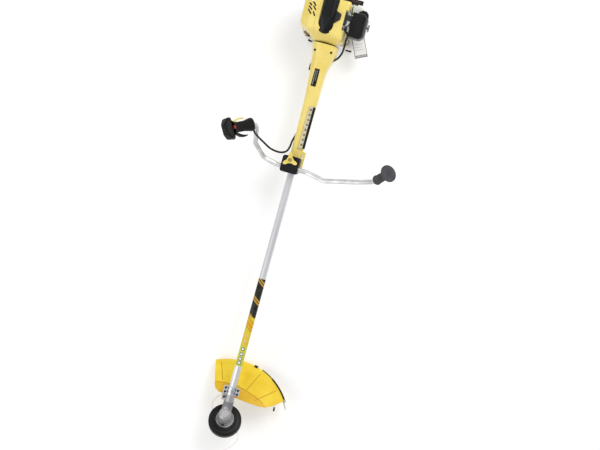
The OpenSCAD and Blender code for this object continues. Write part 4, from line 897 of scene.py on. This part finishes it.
# Natural polyethylene: milky white, with light passing a little way in.
natural_poly = surface("natural polyethylene", "#e4e3dc", "#f1f0ea", 0.38, 60, 4, 0.1)
poly_shader = natural_poly.node_tree.nodes["Principled BSDF"]
poly_shader.inputs["Subsurface Weight"].default_value = 0.25
poly_shader.inputs["Subsurface Scale"].default_value = 0.004
# Wire sheath: dark red PVC.
red_sheath = surface("dark red PVC sheath", "#5b2722", "#7c3a33", 0.35, 12, 1.5, 0.1)
dress("fuel_tank", natural_poly)
dress("fuel_cap", black_nylon, edge=0.6)
dress("tank_stand", black_nylon, edge=1.5)
dress("engine_leads", red_sheath)

# ---- Recoil starter ----
# The starter's black housing closes the rear of the engine cover. Its braided rope ends in a T-grip with a
# dark red inlay.

# Braided polyester: dark grey, matt and rough from its strands, which are drawn coarse.
braid = surface("braided polyester rope", "#222224", "#3b3b3e", 0.8, 3, 1.2, 0.7)
# Inlay: dark red ABS pressed into the grip.
inlay_red = surface("dark red inlay", "#300e10", "#431618", 0.35, 10, 1.5, 0.1)
dress("starter_housing", black_nylon, edge=0.8)
dress("starter_pulley", die_cast)
# the rope leaves the pulley's edge and rises straight up through its guide
rope_bend = [engine_point(*p) for p in (
    (-101, 36, 12), (-101, 42, 20), (-97, 52, 31), (-88, 65, 41), (-78, 74, 48), (-75, 76, 58))]
rope_run = [engine_point(-75, 76, 59 + k) for k in range(12)]
rope_radius = 0.0017
rope = hose("braided_starter_rope", smooth_route(rope_bend, 3) + rope_run, rope_radius, braid)
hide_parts("starter_rope")
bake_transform(rope)
dress("starter_grip", throttle_black, edge=0.8)
grip_top = (max(c[2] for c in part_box("starter_grip")) - engine_at.z) * 1000
slab("starter_grip_inlay", engine_frame, (-79, 57, grip_top - 1.6), (-71, 95, grip_top + 0.7), inlay_red,
     "starter_handle", 0.8)

# ---- Socket screws ----
# Cylinder-head screws with hexagon sockets hold the clamp, the guard's bracket and the cover.

# Black oxide steel: dark with an oily sheen.
black_oxide = surface("black oxide steel", "#2c2d30", "#46474b", 0.34, 6, 1.2, 0.15, metallic=0.9)
dress("socket_screws", black_oxide)

# ---- Hang tag ----
# A bare card, 103 x 51 mm, is tied to the fuel hose and lies on the tank. It has a thin printed border, a
# hatched band along its lower edge and three plain stripes.

# Coated card: white, with a fine paper grain.
card_white = surface("coated white card", "#eeeeec", "#f8f8f6", 0.45, 30, 2.5, 0.1)
# Printing ink: flat and even, dark for the borders and pale for the stripes.
card_ink = surface("dark printing ink", "#1e1f21", "#2c2d2f", 0.4, 8, 1.5, 0.05)
card_grey = surface("pale printing ink", "#d3d4d5", "#dcdddd", 0.4, 8, 1.5, 0.05)
# the card's tied end in the engine's frame, its direction there, and where and how far it lifts
tag_x, tag_y, tag_level = 21, 98, -71.3
tag_cos, tag_sin = 0.906, 0.423
lift_from, lift_length, lift_height = 55, 48, 8


def card_patch(name, corners, low, high, finish):
    """A patch of the card from its corners (along, across) in mm, bent with the card."""
    points = []
    steps = 10
    for height in (low, high):
        for i in range(steps + 1):
            for edge in (0, 1):
                start, end = Vector(corners[edge]), Vector(corners[3 - edge])
                along, across = start.lerp(end, i / steps)
                bend = tag_level + lift_height * max(0.0, (along - lift_from) / lift_length) ** 2
                points.append(engine_point(tag_x + tag_cos * along - tag_sin * across,
                                           tag_y + tag_sin * along + tag_cos * across, bend + height))
    half = 2 * (steps + 1)
    faces = [(0, 1, half + 1, half), (half - 2, half - 1, 2 * half - 1, 2 * half - 2)]
    for i in range(steps):
        a = 2 * i
        for base in (0, half):
            faces.append((base + a, base + a + 1, base + a + 3, base + a + 2))
        for edge in (0, 1):
            faces.append((a + edge, a + 2 + edge, half + a + 2 + edge, half + a + edge))
    built(name, points, faces, finish, "machine")


card_patch("tag_card", [(0, -25.5), (0, 25.5), (103, 25.5), (103, -25.5)], 0, 0.5, card_white)
for index, corners in enumerate((
        [(1, -25.2), (1, -23.3), (102, -23.3), (102, -25.2)],
        [(1, 23.3), (1, 25.2), (102, 25.2), (102, 23.3)],
        [(2, -23.3), (2, 23.3), (3.2, 23.3), (3.2, -23.3)],
        [(99.8, -23.3), (99.8, 23.3), (102, 23.3), (102, -23.3)],
        [(91.4, -23.3), (91.4, 23.3), (93, 23.3), (93, -23.3)])):
    card_patch(f"tag_border_{index}", corners, 0.4, 0.62, card_ink)
for index in range(8):
    y = -22 + 5.6 * index
    corners = [(93, y), (93, y + 2.8), (99.8, y + 6), (99.8, y + 3.2)]
    card_patch(f"tag_hatch_{index}", corners, 0.4, 0.6, card_ink)
for index, reach in enumerate((16, 10, 14)):
    x = 46 + 11 * index
    corners = [(x, -18), (x, reach), (x + 3.5, reach), (x + 3.5, -18)]
    card_patch(f"tag_stripe_{index}", corners, 0.4, 0.6, card_grey)
tie_radius = 0.0007
tie_route = [engine_point(*p) for p in (
    (27, 100, -70.4), (25, 92, -66), (22.5, 82, -60), (20.8, 75.4, -55), (16.5, 72, -53), (20.4, 68.4, -53),
    (24.2, 72.5, -54), (25, 82, -59), (28, 93, -66), (31, 101, -70.4))]
curve_wire("tag_tie", smooth_route(tie_route, 4), tie_radius, nylon, "machine")
